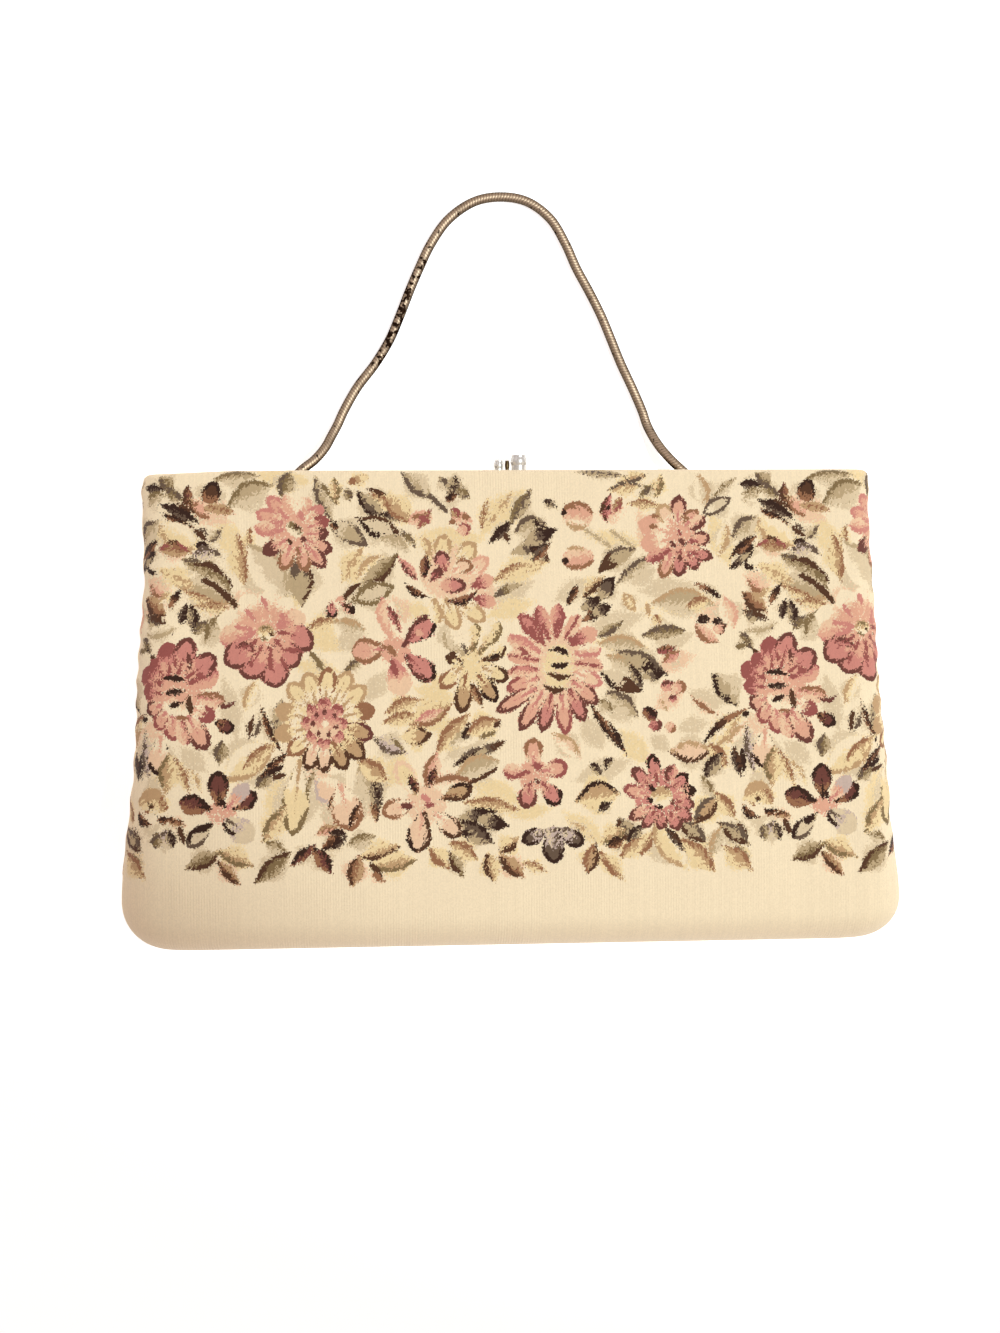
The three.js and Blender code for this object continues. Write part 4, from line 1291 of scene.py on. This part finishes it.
def cloth_panel(name, side, weave_start):
    """One panel of the bag as a closed wall: a fine outside with its pattern, a coarse inside, and strips
    that join them along the hem, the side seams and the base seam. Its second material is the inside's."""
    place = across_places()
    outer, weave, fields, length = panel_outside(place, side, weave_start)
    inner_place = np.linspace(-SEAM, SEAM, INNER_PLACES + 1)
    inner_up, inner_inset = inner_rows()
    inner, _ = panel_surface(*np.meshgrid(inner_place, inner_up), inner_inset[:, None], side)

    outer_index = np.arange(outer[..., 0].size).reshape(outer.shape[:2])
    inner_index = np.arange(inner[..., 0].size).reshape(inner.shape[:2]) + outer_index.size
    rising = inner_index[::-1]
    across = shares_along(place)
    along = shares_along(length)
    inner_across = shares_along(inner_place)
    inner_along = shares_along(inner_up[::-1])
    outside = grid_triangles(outer_index)
    inside = np.concatenate([
        grid_triangles(inner_index),
        strip_triangles(outer_index[-1], across, inner_index[0], inner_across),
        strip_triangles(inner_index[-1], inner_across, outer_index[0], across),
        strip_triangles(outer_index[:, 0], along, rising[:, 0], inner_along),
        strip_triangles(rising[:, -1], inner_along, outer_index[:, -1], along),
    ])
    within = np.repeat([0, 1], [len(outside), len(inside)])
    triangles = np.concatenate([outside, inside])
    if side < 0:
        triangles = triangles[:, ::-1]
    points = np.concatenate([outer.reshape(-1, 3), inner.reshape(-1, 3)])
    kept, triangles, whole = welded(points, triangles)
    piece = new_piece(name, points[kept], triangles[whole])
    piece.data.polygons.foreach_set("material_index", within[whole].astype(np.int32))

    plain_weave = np.zeros((inner_index.size, 3))
    plain_fields = np.full((len(fields), inner_index.size), -FIELD_REACH)
    plain_fields[0] = FIELD_REACH
    all_weave = np.concatenate([weave.reshape(-1, 3), plain_weave])[kept]
    all_fields = np.concatenate([fields, plain_fields], 1)[:, kept]
    add_attribute(piece, "weave", "FLOAT_VECTOR", all_weave)
    for layer, layer_fields in zip(THREAD_LAYERS, np.split(all_fields, len(THREAD_LAYERS))):
        add_attribute(piece, layer, "FLOAT_COLOR", layer_fields.T)
    return piece


def chart_rows():
    """Shapes of the charts in painting order: base, tip, width, bend, form, fill thread, pairs of an edge
    thread and its place, and whether the shape is modelled in light and dark. Each leaf is laid twice: first
    as a soft wide tint, then wider and longer than charted."""
    passes = (
        # chart, width, length, tinted, modelled
        (WASHES, 1.0, 1.0, False, False),
        (LEAVES, TINT_WIDTH, 1.0, True, False),
        (LEAVES, LEAF_WIDTH, LEAF_LENGTH, False, True),
        (BLOOMS, 1.0, 1.0, False, False),
        (PETALS, 1.0, 1.0, False, True),
        (DETAILS, 1.0, 1.0, False, True),
    )
    for chart, width, length, tinted, modelled in passes:
        for line in chart.strip().splitlines():
            words = line.split()
            x, up, tip_x, tip_up, wide, bend = map(float, words[:SIZE_COLUMNS])
            form, fill, *borders = words[SIZE_COLUMNS:]
            edges = list(zip(borders[::2], borders[1::2]))
            if tinted:
                fill = TINT.get(fill, "pale")
                edges = []
            more_x = (length - 1) * (tip_x - x) / 2
            more_up = (length - 1) * (tip_up - up) / 2
            base = (x - more_x, up - more_up)
            tip = (tip_x + more_x, tip_up + more_up)
            yield base, tip, wide * width, bend, form, fill, edges, modelled


def form_width(t, form):
    """Share of a shape's half width along it: a leaf is widest in the middle, a petal towards its tip, a drop
    towards its base, an oval is an ellipse and a bar has blunt ends."""
    t = np.clip(t, 0, 1)
    if form == "leaf":
        return np.sin(math.pi * t) ** LEAF_TAPER
    if form == "petal":
        return np.sin(math.pi * t**PETAL_LEAN) ** PETAL_ROUND
    if form == "drop":
        return np.sin(math.pi * (1 - t) ** PETAL_LEAN) ** PETAL_ROUND
    if form == "oval":
        return np.sqrt(np.clip(4 * t * (1 - t), 0, None))
    return np.sqrt(np.clip(1 - (2 * t - 1) ** BAR_BLUNT, 0, None))


def shape_parts(form, wide, fill, edges, modelled):
    """Threads of a shape and their places in it, in painting order: its fill all over, the threads that model
    it in light and dark, and its edge threads. Bars and narrow shapes aren't modelled."""
    parts = [(fill, "")]
    if modelled and form != "bar" and wide > MODELLED_WIDTH:
        light, dark = TONES[fill]
        if len(edges) < 2:
            parts.append((light, LIT_SIDE[edges[0][1]] if edges else "half_right"))
        if form == "petal":
            parts.append((dark, "streak"))
        elif not edges:
            parts.append((dark, "half_left"))
    return parts + edges


def hatching(course):
    """Strokes along a course, as a triangle wave between -1 and 1 whose pitch sways."""
    course = course / HATCH + HATCH_SWAY * np.sin(course * HATCH_SWING)
    return 4 * np.abs(course - np.floor(course + 0.5)) - 1


def part_field(t, a, half, inside, length, where):
    """Signed distance into the part of a shape that another thread takes: a line along a side or all round, a
    lit or shaded half, an end, a vein along the middle, a streak from the base, or a rim that grows towards
    the tip. The borders of all but the vein and the streak are hatched."""
    barbs = FEATHER * hatching(t * length + np.abs(a))
    flames = FEATHER * hatching(a)
    line = np.minimum(EDGE_LINE, EDGE_SHARE * half)
    if where == "left":
        return EDGE_SLOPE * (line + a - half) + barbs
    if where == "right":
        return EDGE_SLOPE * (line - a - half) + barbs
    if where == "half_left":
        return HALF_SLOPE * (a - HALF_SHARE * half) + barbs
    if where == "half_right":
        return HALF_SLOPE * (-a - HALF_SHARE * half) + barbs
    if where == "tip":
        return HALF_SLOPE * (t - TIP_SHARE) * length + flames
    if where == "base":
        return HALF_SLOPE * (BASE_SHARE - t) * length + flames
    if where == "vein":
        return VEIN - np.abs(a)
    if where == "streak":
        return STREAK * (1 - t / STREAK_REACH) - np.abs(a)
    if where == "ring":
        return RING - inside + RIM_FEATHER * flames
    rim = RIM * smooth_step(RIM_START, RIM_FULL, t)
    return rim - np.minimum(inside, (1 - t) * length) + RIM_FEATHER * flames


def lay_thread(fields, near, thread, distance):
    """Lays one thread over the others: its own field takes the distance, and theirs yield to it."""
    part = fields[:, near]
    own = np.maximum(part[thread], distance)
    part = np.minimum(part, -distance)
    part[thread] = own
    fields[:, near] = part


def paint_threads(x, up):
    """Signed distances, in millimetres, into the area of the ground and of each thread at points of the
    cloth.

    Each chart row is a shape along a chord from its base to its tip, bowed to the left by its bend as a
    parabola. A point's distance is the half width there less its distance from the bowed line. Past an end of
    the chord it is the distance from that end, below zero. A modelled shape has a hatched outline, and any
    other shape shades off softly. Later rows lie over earlier ones, and the whole chart repeats across the
    cloth.
    """
    names = list(THREADS)
    fields = np.full((len(names), x.size), -FIELD_REACH)
    fields[0] = FIELD_REACH
    for base, tip, wide, bend, form, fill, edges, modelled in chart_rows():
        length = math.dist(base, tip)
        dir_x = (tip[0] - base[0]) / length
        dir_up = (tip[1] - base[1]) / length
        reach = length / 2 + wide / 2 + abs(bend) + FIELD_REACH
        parts = shape_parts(form, wide, fill, edges, modelled)
        close_up = np.abs(up - (base[1] + tip[1]) / 2) < reach
        for shift in (-REPEAT, 0, REPEAT):
            near = np.flatnonzero(close_up & (np.abs(x - shift - (base[0] + tip[0]) / 2) < reach))
            if not near.size:
                continue
            px = x[near] - shift - base[0]
            pu = up[near] - base[1]
            t = (px * dir_x + pu * dir_up) / length
            a = pu * dir_x - px * dir_up - bend * 4 * t * (1 - t)
            half = wide / 2 * form_width(t, form)
            past = np.clip(np.maximum(-t, t - 1), 0, None) * length
            inside = np.where(past > 0, -np.hypot(past, a), half - np.abs(a))
            if modelled:
                inside = OUTLINE_SLOPE * inside + OUTLINE_FEATHER * hatching(t * length + np.abs(a))
            else:
                inside = np.minimum(inside * WASH_SLOPE, WASH_FULL)
            for thread, where in parts:
                distance = inside
                if where:
                    distance = np.minimum(inside, part_field(t, a, half, inside, length, where))
                lay_thread(fields, near, names.index(thread), distance)
    return np.clip(fields, -FIELD_REACH, FIELD_REACH)


class Graph:
    """Short ways to add and join nodes in a material or a node group."""

    def __init__(self, tree):
        self.tree = tree

    def feed(self, node, inputs):
        """Feeds inputs of a node, by name or number, from other nodes' outputs or with plain values."""
        for key, value in inputs.items():
            if isinstance(value, bpy.types.NodeSocket):
                self.tree.links.new(value, node.inputs[key])
            else:
                node.inputs[key].default_value = value

    def add(self, kind, inputs, **settings):
        """Adds a node with its settings and inputs, and gives its outputs."""
        node = self.tree.nodes.new(kind)
        for key, value in settings.items():
            setattr(node, key, value)
        self.feed(node, inputs)
        return node.outputs

    def math(self, operation, *values):
        return self.add("ShaderNodeMath", dict(enumerate(values)), operation=operation)[0]

    def vector(self, operation, *values):
        return self.add("ShaderNodeVectorMath", dict(enumerate(values)), operation=operation)[0]

    def scaled(self, colour, factor):
        return self.add("ShaderNodeVectorMath", {0: colour, 3: factor}, operation="SCALE")[0]

    def mixed(self, factor, first, second):
        return self.add("ShaderNodeMix", {0: factor, 6: first, 7: second}, data_type="RGBA")[2]

    def ramp(self, value, low, high, start=0.0, end=1.0):
        """start at low to end at high, eased and held beyond."""
        inputs = {0: value, 1: low, 2: high, 3: start, 4: end}
        return self.add("ShaderNodeMapRange", inputs, interpolation_type="SMOOTHSTEP")[0]

    def attribute(self, name):
        return self.add("ShaderNodeAttribute", {}, attribute_name=name)

    def noise(self, place, scale, detail=2.0):
        return self.add("ShaderNodeTexNoise", {"Vector": place, "Scale": scale, "Detail": detail})["Fac"]

    def chance(self, dimensions, inputs):
        """A random value from 0 to 1 for each value of the inputs."""
        return self.add("ShaderNodeTexWhiteNoise", inputs, noise_dimensions=dimensions)["Value"]

    def place(self):
        return self.add("ShaderNodeTexCoord", {})["Object"]

    def group(self, tree, inputs):
        return self.add("ShaderNodeGroup", inputs, node_tree=tree)

    def bump(self, height, strength, depth):
        """Normals of a relief that is depth millimetres for each unit of height."""
        inputs = {"Strength": strength, "Distance": depth * MM, "Height": height}
        return self.add("ShaderNodeBump", inputs)[0]


def linear(colour):
    """A display colour of 0 to 255 as scene light with full cover, by the usual display curve: a straight
    foot and a power above it."""
    share = np.array(colour) / 255
    light = np.where(share <= 0.04045, share / 12.92, ((share + 0.055) / 1.055) ** 2.4)
    return (*light.tolist(), 1.0)


def new_group(name, inputs, outputs):
    """A node group with named sockets, its graph, and the outputs of its own input node."""
    tree = bpy.data.node_groups.new(name, "ShaderNodeTree")
    for label, kind in inputs.items():
        tree.interface.new_socket(label, in_out="INPUT", socket_type=kind)
    for label, kind in outputs.items():
        tree.interface.new_socket(label, in_out="OUTPUT", socket_type=kind)
    graph = Graph(tree)
    return tree, graph, graph.add("NodeGroupInput", {})


def thread_group():
    """Lays one thread over those before it where its ragged field is the largest so far."""
    inputs = {
        "Stitch": "NodeSocketVector",
        "Number": "NodeSocketFloat",
        "Field": "NodeSocketFloat",
        "Thread": "NodeSocketColor",
        "Largest": "NodeSocketFloat",
        "Colour": "NodeSocketColor",
    }
    outputs = {"Largest": "NodeSocketFloat", "Colour": "NodeSocketColor"}
    tree, graph, given = new_group("Thread over thread", inputs, outputs)
    layer = graph.add("ShaderNodeCombineXYZ", {2: given["Number"]})[0]
    chance = graph.chance("3D", {"Vector": graph.vector("ADD", given["Stitch"], layer)})
    ragged = graph.math("MULTIPLY_ADD", chance, 2 * RAGGED, given["Field"])
    over = graph.math("GREATER_THAN", ragged, given["Largest"])
    colour = graph.mixed(over, given["Colour"], given["Thread"])
    largest = graph.math("MAXIMUM", ragged, given["Largest"])
    graph.add("NodeGroupOutput", {"Largest": largest, "Colour": colour})
    return tree


def wear_group():
    """Tarnish for a metal: soft dark patches, fine specks, and a duller face where they lie."""
    inputs = {
        "Metal": "NodeSocketColor",
        "Tarnish": "NodeSocketColor",
        "Amount": "NodeSocketFloat",
        "Polish": "NodeSocketFloat",
    }
    outputs = {"Colour": "NodeSocketColor", "Roughness": "NodeSocketFloat"}
    tree, graph, given = new_group("Metal wear", inputs, outputs)
    place = graph.place()
    patch = graph.ramp(graph.noise(place, PATCH_SCALE, PATCH_DETAIL), *PATCH_EDGE)
    speck = graph.ramp(graph.noise(place, SPECK_SCALE), *SPECK_EDGE)
    dull = graph.math("MULTIPLY", graph.math("MAXIMUM", patch, speck), given["Amount"])
    colour = graph.mixed(dull, given["Metal"], given["Tarnish"])
    roughness = graph.math("MULTIPLY_ADD", dull, TARNISH_DULL, given["Polish"])
    graph.add("NodeGroupOutput", {"Colour": colour, "Roughness": roughness})
    return tree


def new_material(name, constants):
    """A material with a Principled shader whose plain values are set on its own sockets, its graph, and the
    shader."""
    material = bpy.data.materials.new(name)
    material.use_nodes = True
    tree = material.node_tree
    tree.nodes.clear()
    graph = Graph(tree)
    shader = tree.nodes.new("ShaderNodeBsdfPrincipled")
    graph.feed(shader, constants)
    graph.add("ShaderNodeOutputMaterial", {"Surface": shader.outputs[0]})
    return material, graph, shader


def tapestry_material(thread_over):
    """Woven cloth: at each stitch the thread with the largest field shows. Its tone varies by stitch, by warp
    and in soft clouds. The bare ground is ribbed, and the other threads lie in slanting floats."""
    material, graph, shader = new_material("Floral tapestry", TAPESTRY_GLOSS)
    weave = graph.attribute("weave")["Vector"]
    stitch = graph.vector("FLOOR", graph.vector("DIVIDE", weave, (WARP, WEFT, 1.0)))
    fields = []
    for name in THREAD_LAYERS:
        layer = graph.attribute(name)
        fields += graph.add("ShaderNodeSeparateColor", {0: layer["Color"]})
        fields.append(layer["Alpha"])
    shown = {"Largest": -2 * FIELD_REACH, "Colour": linear(THREADS["ground"])}
    for number, (thread, field) in enumerate(zip(THREADS.values(), fields)):
        inputs = {"Stitch": stitch, "Number": float(number), "Field": field, "Thread": linear(thread)}
        inputs.update(Largest=shown["Largest"], Colour=shown["Colour"])
        shown = graph.group(thread_over, inputs)

    across, up, _ = graph.add("ShaderNodeSeparateXYZ", {0: weave})
    chance = graph.chance("2D", {"Vector": stitch})
    warp = graph.math("FLOOR", graph.math("DIVIDE", across, WARP))
    streak = graph.chance("1D", {"W": warp})
    cloud = graph.noise(graph.place(), CLOUD_SCALE, CLOUD_DETAIL)
    tone = graph.math("MULTIPLY_ADD", chance, STITCH_TONE, 1 - STITCH_TONE / 2)
    tone = graph.math("MULTIPLY_ADD", graph.math("SUBTRACT", streak, 0.5), STREAK_TONE, tone)
    tone = graph.math("MULTIPLY_ADD", graph.math("SUBTRACT", cloud, 0.5), CLOUD_TONE, tone)

    bare = graph.ramp(fields[0], *BARE_EDGE)
    rib = graph.math("SINE", graph.math("MULTIPLY", across, math.tau / RIB))
    rib = graph.math("MULTIPLY", rib, graph.ramp(cloud, *RIB_CLOUD, 0.0, RIB_HEIGHT))
    slant = graph.math("MULTIPLY", across, FLOAT_SLANT)
    satin = graph.math("SINE", graph.math("MULTIPLY_ADD", up, math.tau / WEFT, slant))
    height = graph.add("ShaderNodeMix", {0: bare, 2: satin, 3: rib}, data_type="FLOAT")[0]
    height = graph.math("MULTIPLY_ADD", chance, STITCH_HEIGHT, height)
    graph.feed(shader, {
        "Base Color": graph.scaled(shown["Colour"], tone),
        "Normal": graph.bump(height, WEAVE_STRENGTH, WEAVE_DEPTH),
        "Roughness": graph.math("MULTIPLY_ADD", bare, BARE_ROUGHER, FLOAT_ROUGHNESS),
    })
    return material


def lining_material():
    """Plain cream lining with a fine plain weave and slight clouding."""
    material, graph, shader = new_material("Cream lining", LINING_GLOSS)
    place = graph.place()
    cloud = graph.noise(place, CLOUD_SCALE, CLOUD_DETAIL)
    thread = graph.noise(graph.vector("MULTIPLY", place, LINING_STRETCH), LINING_SCALE, LINING_DETAIL)
    graph.feed(shader, {
        "Base Color": graph.mixed(cloud, linear(LINING), linear(LINING_SHADE)),
        "Normal": graph.bump(thread, LINING_STRENGTH, WEAVE_DEPTH),
        "Roughness": graph.math("MULTIPLY_ADD", cloud, LINING_ROUGHER, LINING_ROUGHNESS),
    })
    return material


def metal_material(name, wear, metal, tarnish, amount, polish, metallic):
    """Bright metal with tarnish, and fine drawn scratches as bump."""
    constants = {"Metallic": metallic, "Specular Tint": linear(METAL_EDGE)}
    material, graph, shader = new_material(name, constants)
    inputs = {"Metal": linear(metal), "Tarnish": linear(tarnish), "Amount": amount, "Polish": polish}
    worn = graph.group(wear, inputs)
    scratch = graph.noise(graph.vector("MULTIPLY", graph.place(), SCRATCH_STRETCH), SCRATCH_SCALE)
    graph.feed(shader, {
        "Base Color": worn["Colour"],
        "Roughness": worn["Roughness"],
        "Normal": graph.bump(scratch, SCRATCH_STRENGTH, SCRATCH_DEPTH),
    })
    return material


def chain_material(wear):
    """Gilt snake chain with painted shade between its links and down its flanks, and dark spots on its left
    side.
    """
    constants = {"Metallic": 1.0, "Specular Tint": linear(METAL_EDGE)}
    material, graph, shader = new_material("Aged gilt chain with painted shade", constants)
    along, angle, depth = graph.add("ShaderNodeSeparateXYZ", {0: graph.attribute("chain")["Vector"]})
    worn = graph.math("MULTIPLY", graph.ramp(along, *WORN_FROM), graph.ramp(along, *WORN_TO, 1.0, 0.0))
    amount = graph.math("MULTIPLY_ADD", worn, WORN_MORE, WORN_LEAST)
    inputs = {"Metal": linear(CHAIN_GILT), "Tarnish": linear(CHAIN_TARNISH), "Polish": CHAIN_POLISH}
    gilt = graph.group(wear, {**inputs, "Amount": amount})
    # Painted shade: the gilt is darker in the gaps between links and towards the chain's flanks
    flank = graph.math("ABSOLUTE", graph.math("COSINE", angle))
    gap_painted_shade = graph.ramp(depth, 0.0, 1.0, 1.0, PAINTED_GAP_SHADE)
    flank_painted_shade = graph.ramp(flank, *FLANK_REACH, 1.0, PAINTED_FLANK_SHADE)
    shaded = graph.scaled(gilt["Colour"], graph.math("MULTIPLY", gap_painted_shade, flank_painted_shade))
    blotch = graph.math("MULTIPLY_ADD", worn, SPOT_MORE, graph.noise(graph.place(), SPOT_SCALE))
    spot = graph.ramp(blotch, *SPOT_EDGE)
    graph.feed(shader, {
        "Base Color": graph.mixed(spot, shaded, linear(CHAIN_SPOT)),
        "Roughness": gilt["Roughness"],
    })
    return material


def floor_material():
    """Pale studio floor with a faint grain, slightly lit from below like a light table."""
    constants = {"Roughness": FLOOR_ROUGHNESS, "Emission Strength": FLOOR_GLOW, "Emission Color": WHITE}
    material, graph, shader = new_material("Pale floor", constants)
    grain = graph.noise(graph.place(), FLOOR_GRAIN_SCALE, FLOOR_GRAIN_DETAIL)
    graph.feed(shader, {"Base Color": graph.mixed(grain, FLOOR_SHADE, FLOOR_PALE)})
    return material


def route_curve(points, steps):
    """A smooth curve through route points, as cubic spans whose slopes weigh the neighbouring gaps by the
    square root of their lengths, with steps places in each span."""
    padded = np.concatenate([[2 * points[0] - points[1]], points, [2 * points[-1] - points[-2]]])
    gaps = np.sqrt(np.linalg.norm(np.diff(padded, axis=0), axis=1))[:, None]
    p0, p1, p2, p3 = padded[:-3], padded[1:-2], padded[2:-1], padded[3:]
    g0, g1, g2 = gaps[:-2], gaps[1:-1], gaps[2:]
    slope_in = ((p1 - p0) / g0 - (p2 - p0) / (g0 + g1) + (p2 - p1) / g1) * g1
    slope_out = ((p2 - p1) / g1 - (p3 - p1) / (g1 + g2) + (p3 - p2) / g2) * g1
    t = np.linspace(0, 1, steps, endpoint=False)[None, :, None]
    square = -3 * p1 + 3 * p2 - 2 * slope_in - slope_out
    cube = 2 * p1 - 2 * p2 + slope_in + slope_out
    powers = (p1, slope_in, square, cube)
    curve = sum(part[:, None, :] * t**power for power, part in enumerate(powers))
    return np.concatenate([curve.reshape(-1, 3), points[-1:]])


def along_curve(curve, places):
    """Points and unit directions at distances along a curve of short straight steps."""
    course = np.concatenate([[0], np.cumsum(np.linalg.norm(np.diff(curve, axis=0), axis=1))])
    points = np.stack([np.interp(places, course, curve[:, axis]) for axis in range(3)], -1)
    direction = np.gradient(points, places, axis=0)
    return points, direction / np.linalg.norm(direction, axis=1, keepdims=True)


def snake_chain(name, points):
    """A round snake chain along a route: a circle carried along it, whose radius swells over each link and
    falls in the gaps, with the gaps waving round the chain twice. Its attribute holds the distance along, the
    angle round and the depth of the gap at each vertex."""
    curve = route_curve(points, ROUTE_STEPS)
    length = np.linalg.norm(np.diff(curve, axis=0), axis=1).sum()
    rows = int(length / LINK * LINK_ROWS)
    places = np.linspace(0, length, rows)
    middle, direction = along_curve(curve, places)
    aside = np.cross(direction, (0.0, 0.0, 1.0))
    aside = aside / np.linalg.norm(aside, axis=1, keepdims=True)
    over = np.cross(aside, direction)
    angle = np.linspace(0, math.tau, CHAIN_SIDES, endpoint=False)
    phase = places[:, None] / LINK + LINK_WAVE * np.sin(2 * angle)
    gap = 1 - np.abs(np.sin(math.pi * phase)) ** LINK_ROUND
    radius = CHAIN_DIAMETER / 2 * (1 - LINK_DEPTH * gap)
    ring = np.cos(angle)[None, :, None] * aside[:, None] + np.sin(angle)[None, :, None] * over[:, None]
    surface = middle[:, None] + radius[..., None] * ring
    vertices = np.concatenate([surface.reshape(-1, 3), middle[[0, -1]]])
    piece = new_piece(name, vertices, tube_triangles(rows, CHAIN_SIDES)[:, ::-1])
    angle_grid, place_grid = np.meshgrid(angle, places)
    traits = np.stack([place_grid, angle_grid, gap], -1).reshape(-1, 3)
    end_traits = np.zeros((2, 3))
    add_attribute(piece, "chain", "FLOAT_VECTOR", np.concatenate([traits, end_traits]))
    return piece


def turned_piece(name, profile, foot):
    """A surface turned round an axis along Y: each profile row is a radius and a distance along the axis."""
    radius, height = np.array(profile).T
    angle = np.linspace(0, math.tau, TURNED_SIDES, endpoint=False)
    _, height_grid = np.meshgrid(angle, height)
    aside = radius[:, None] * np.sin(angle)
    over = radius[:, None] * np.cos(angle)
    surface = np.stack([aside, height_grid, over], -1).reshape(-1, 3)
    tips = np.array([(0, height[0], 0), (0, height[-1], 0)])
    vertices = np.concatenate([surface, tips]) + np.array(foot)
    return new_piece(name, vertices, tube_triangles(len(profile), TURNED_SIDES))


def knob_profile(neck, head, height):
    """Profile of a clasp knob: a straight neck with a bevelled foot, then a round head whose radius follows
    the root of a cosine and is nowhere less than the neck's, with a small crown on top."""
    under = height * KNOB_FOOT
    angle = np.linspace(-QUARTER_TURN, QUARTER_TURN, KNOB_STEPS)[1:-1]
    reach = np.maximum(neck, head * np.sqrt(np.cos(angle)))
    rise = under + (height - under) / 2 * (1 + np.sin(angle))
    crown_wide, crown_high = KNOB_CROWN
    rows = [(neck * wide, under * high) for wide, high in KNOB_NECK]
    return rows + list(zip(reach, rise)) + [(head * crown_wide, height * crown_high)]


wear = wear_group()
tapestry = tapestry_material(thread_group())
lining = lining_material()
metals = {name: metal_material(name, wear, *look) for name, look in METALS.items()}
chain_gilt = chain_material(wear)

for name, node, frame_half, side, weave_start in PANELS:
    panel = cloth_panel(name, side, weave_start)
    panel.data.materials.append(tapestry)
    panel.data.materials.append(lining)
    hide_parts(node)

chain = snake_chain("snake_chain", ROUTE - np.array([0.0, ORIGIN_UP, 0.0]))
chain.data.materials.append(chain_gilt)
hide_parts("handle_chain")

for name, node, across, side, neck, head, height in KNOBS:
    foot = (across, KNOB_UP - ORIGIN_UP, MOUTH_MIDDLE + side * KNOB_LEAN)
    knob = turned_piece(name, knob_profile(neck, head, height), foot)
    knob.data.materials.append(metals["Pale gilt"])
    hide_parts(node)

# The stem's dark brass is painted shade, for the stem in the shadow between the knobs
stem_foot = (STEM_ACROSS, KNOB_UP - ORIGIN_UP, MOUTH_MIDDLE)
stem = turned_piece("clasp_stem", knob_profile(STEM_WIDE, STEM_HEAD, STEM_HEIGHT), stem_foot)
stem.data.materials.append(metals["Brass in painted shade"])

for node, finish in FINISHES.items():
    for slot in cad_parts[node].material_slots:
        slot.material = metals[finish]


def floor_plane():
    """A wide flat floor at the level of the table."""
    half = FLOOR_HALF * MM
    mesh = bpy.data.meshes.new("floor")
    corners = [(-half, -half, 0), (half, -half, 0), (half, half, 0), (-half, half, 0)]
    mesh.from_pydata(corners, [], [(0, 1, 2, 3)])
    mesh.materials.append(floor_material())
    floor = bpy.data.objects.new("floor", mesh)
    bpy.context.scene.collection.objects.link(floor)


def place_light(name, lamp, place, aim):
    """Puts a lamp at a place, facing a point."""
    light = bpy.data.objects.new(name, lamp)
    light.location = Vector(place) * MM
    light.rotation_euler = (Vector(aim) - Vector(place)).to_track_quat("-Z", "Y").to_euler()
    bpy.context.scene.collection.objects.link(light)


floor_plane()
key = bpy.data.lights.new("Soft key", "SPOT")
key.energy = KEY_POWER
key.color = KEY_COLOUR
key.shadow_soft_size = KEY_WIDTH / 2 * MM
key.spot_size = math.radians(KEY_CONE)
key.spot_blend = KEY_BLEND
place_light("Soft key", key, KEY_PLACE, KEY_AIM)
fill = bpy.data.lights.new("Soft fill", "AREA")
fill.energy = FILL_POWER
fill.size = FILL_WIDTH * MM
place_light("Soft fill", fill, FILL_PLACE, FILL_AIM)

world = bpy.data.worlds.new("Studio")
world.use_nodes = True
sky = world.node_tree.nodes["Background"]
sky.inputs["Color"].default_value = SKY_COLOUR
sky.inputs["Strength"].default_value = SKY_LIGHT
bpy.context.scene.world = world
bpy.context.scene.view_settings.view_transform = "Standard"

lens = bpy.data.cameras.new("Photo camera")
lens.sensor_width = SENSOR
lens.lens = SENSOR * FOCUS_PIXELS / IMAGE_HEIGHT
lens.clip_start = CAMERA_NEAREST * MM
turn = Matrix.Identity(3)
for axis, degrees in CAMERA_TURN.items():
    turn = turn @ Matrix.Rotation(math.radians(degrees), 3, axis)
camera = bpy.data.objects.new("Photo camera", lens)
camera.matrix_world = Matrix.Translation(Vector(CAMERA_PLACE) * MM) @ turn.to_4x4()
bpy.context.scene.collection.objects.link(camera)
bpy.context.scene.camera = camera
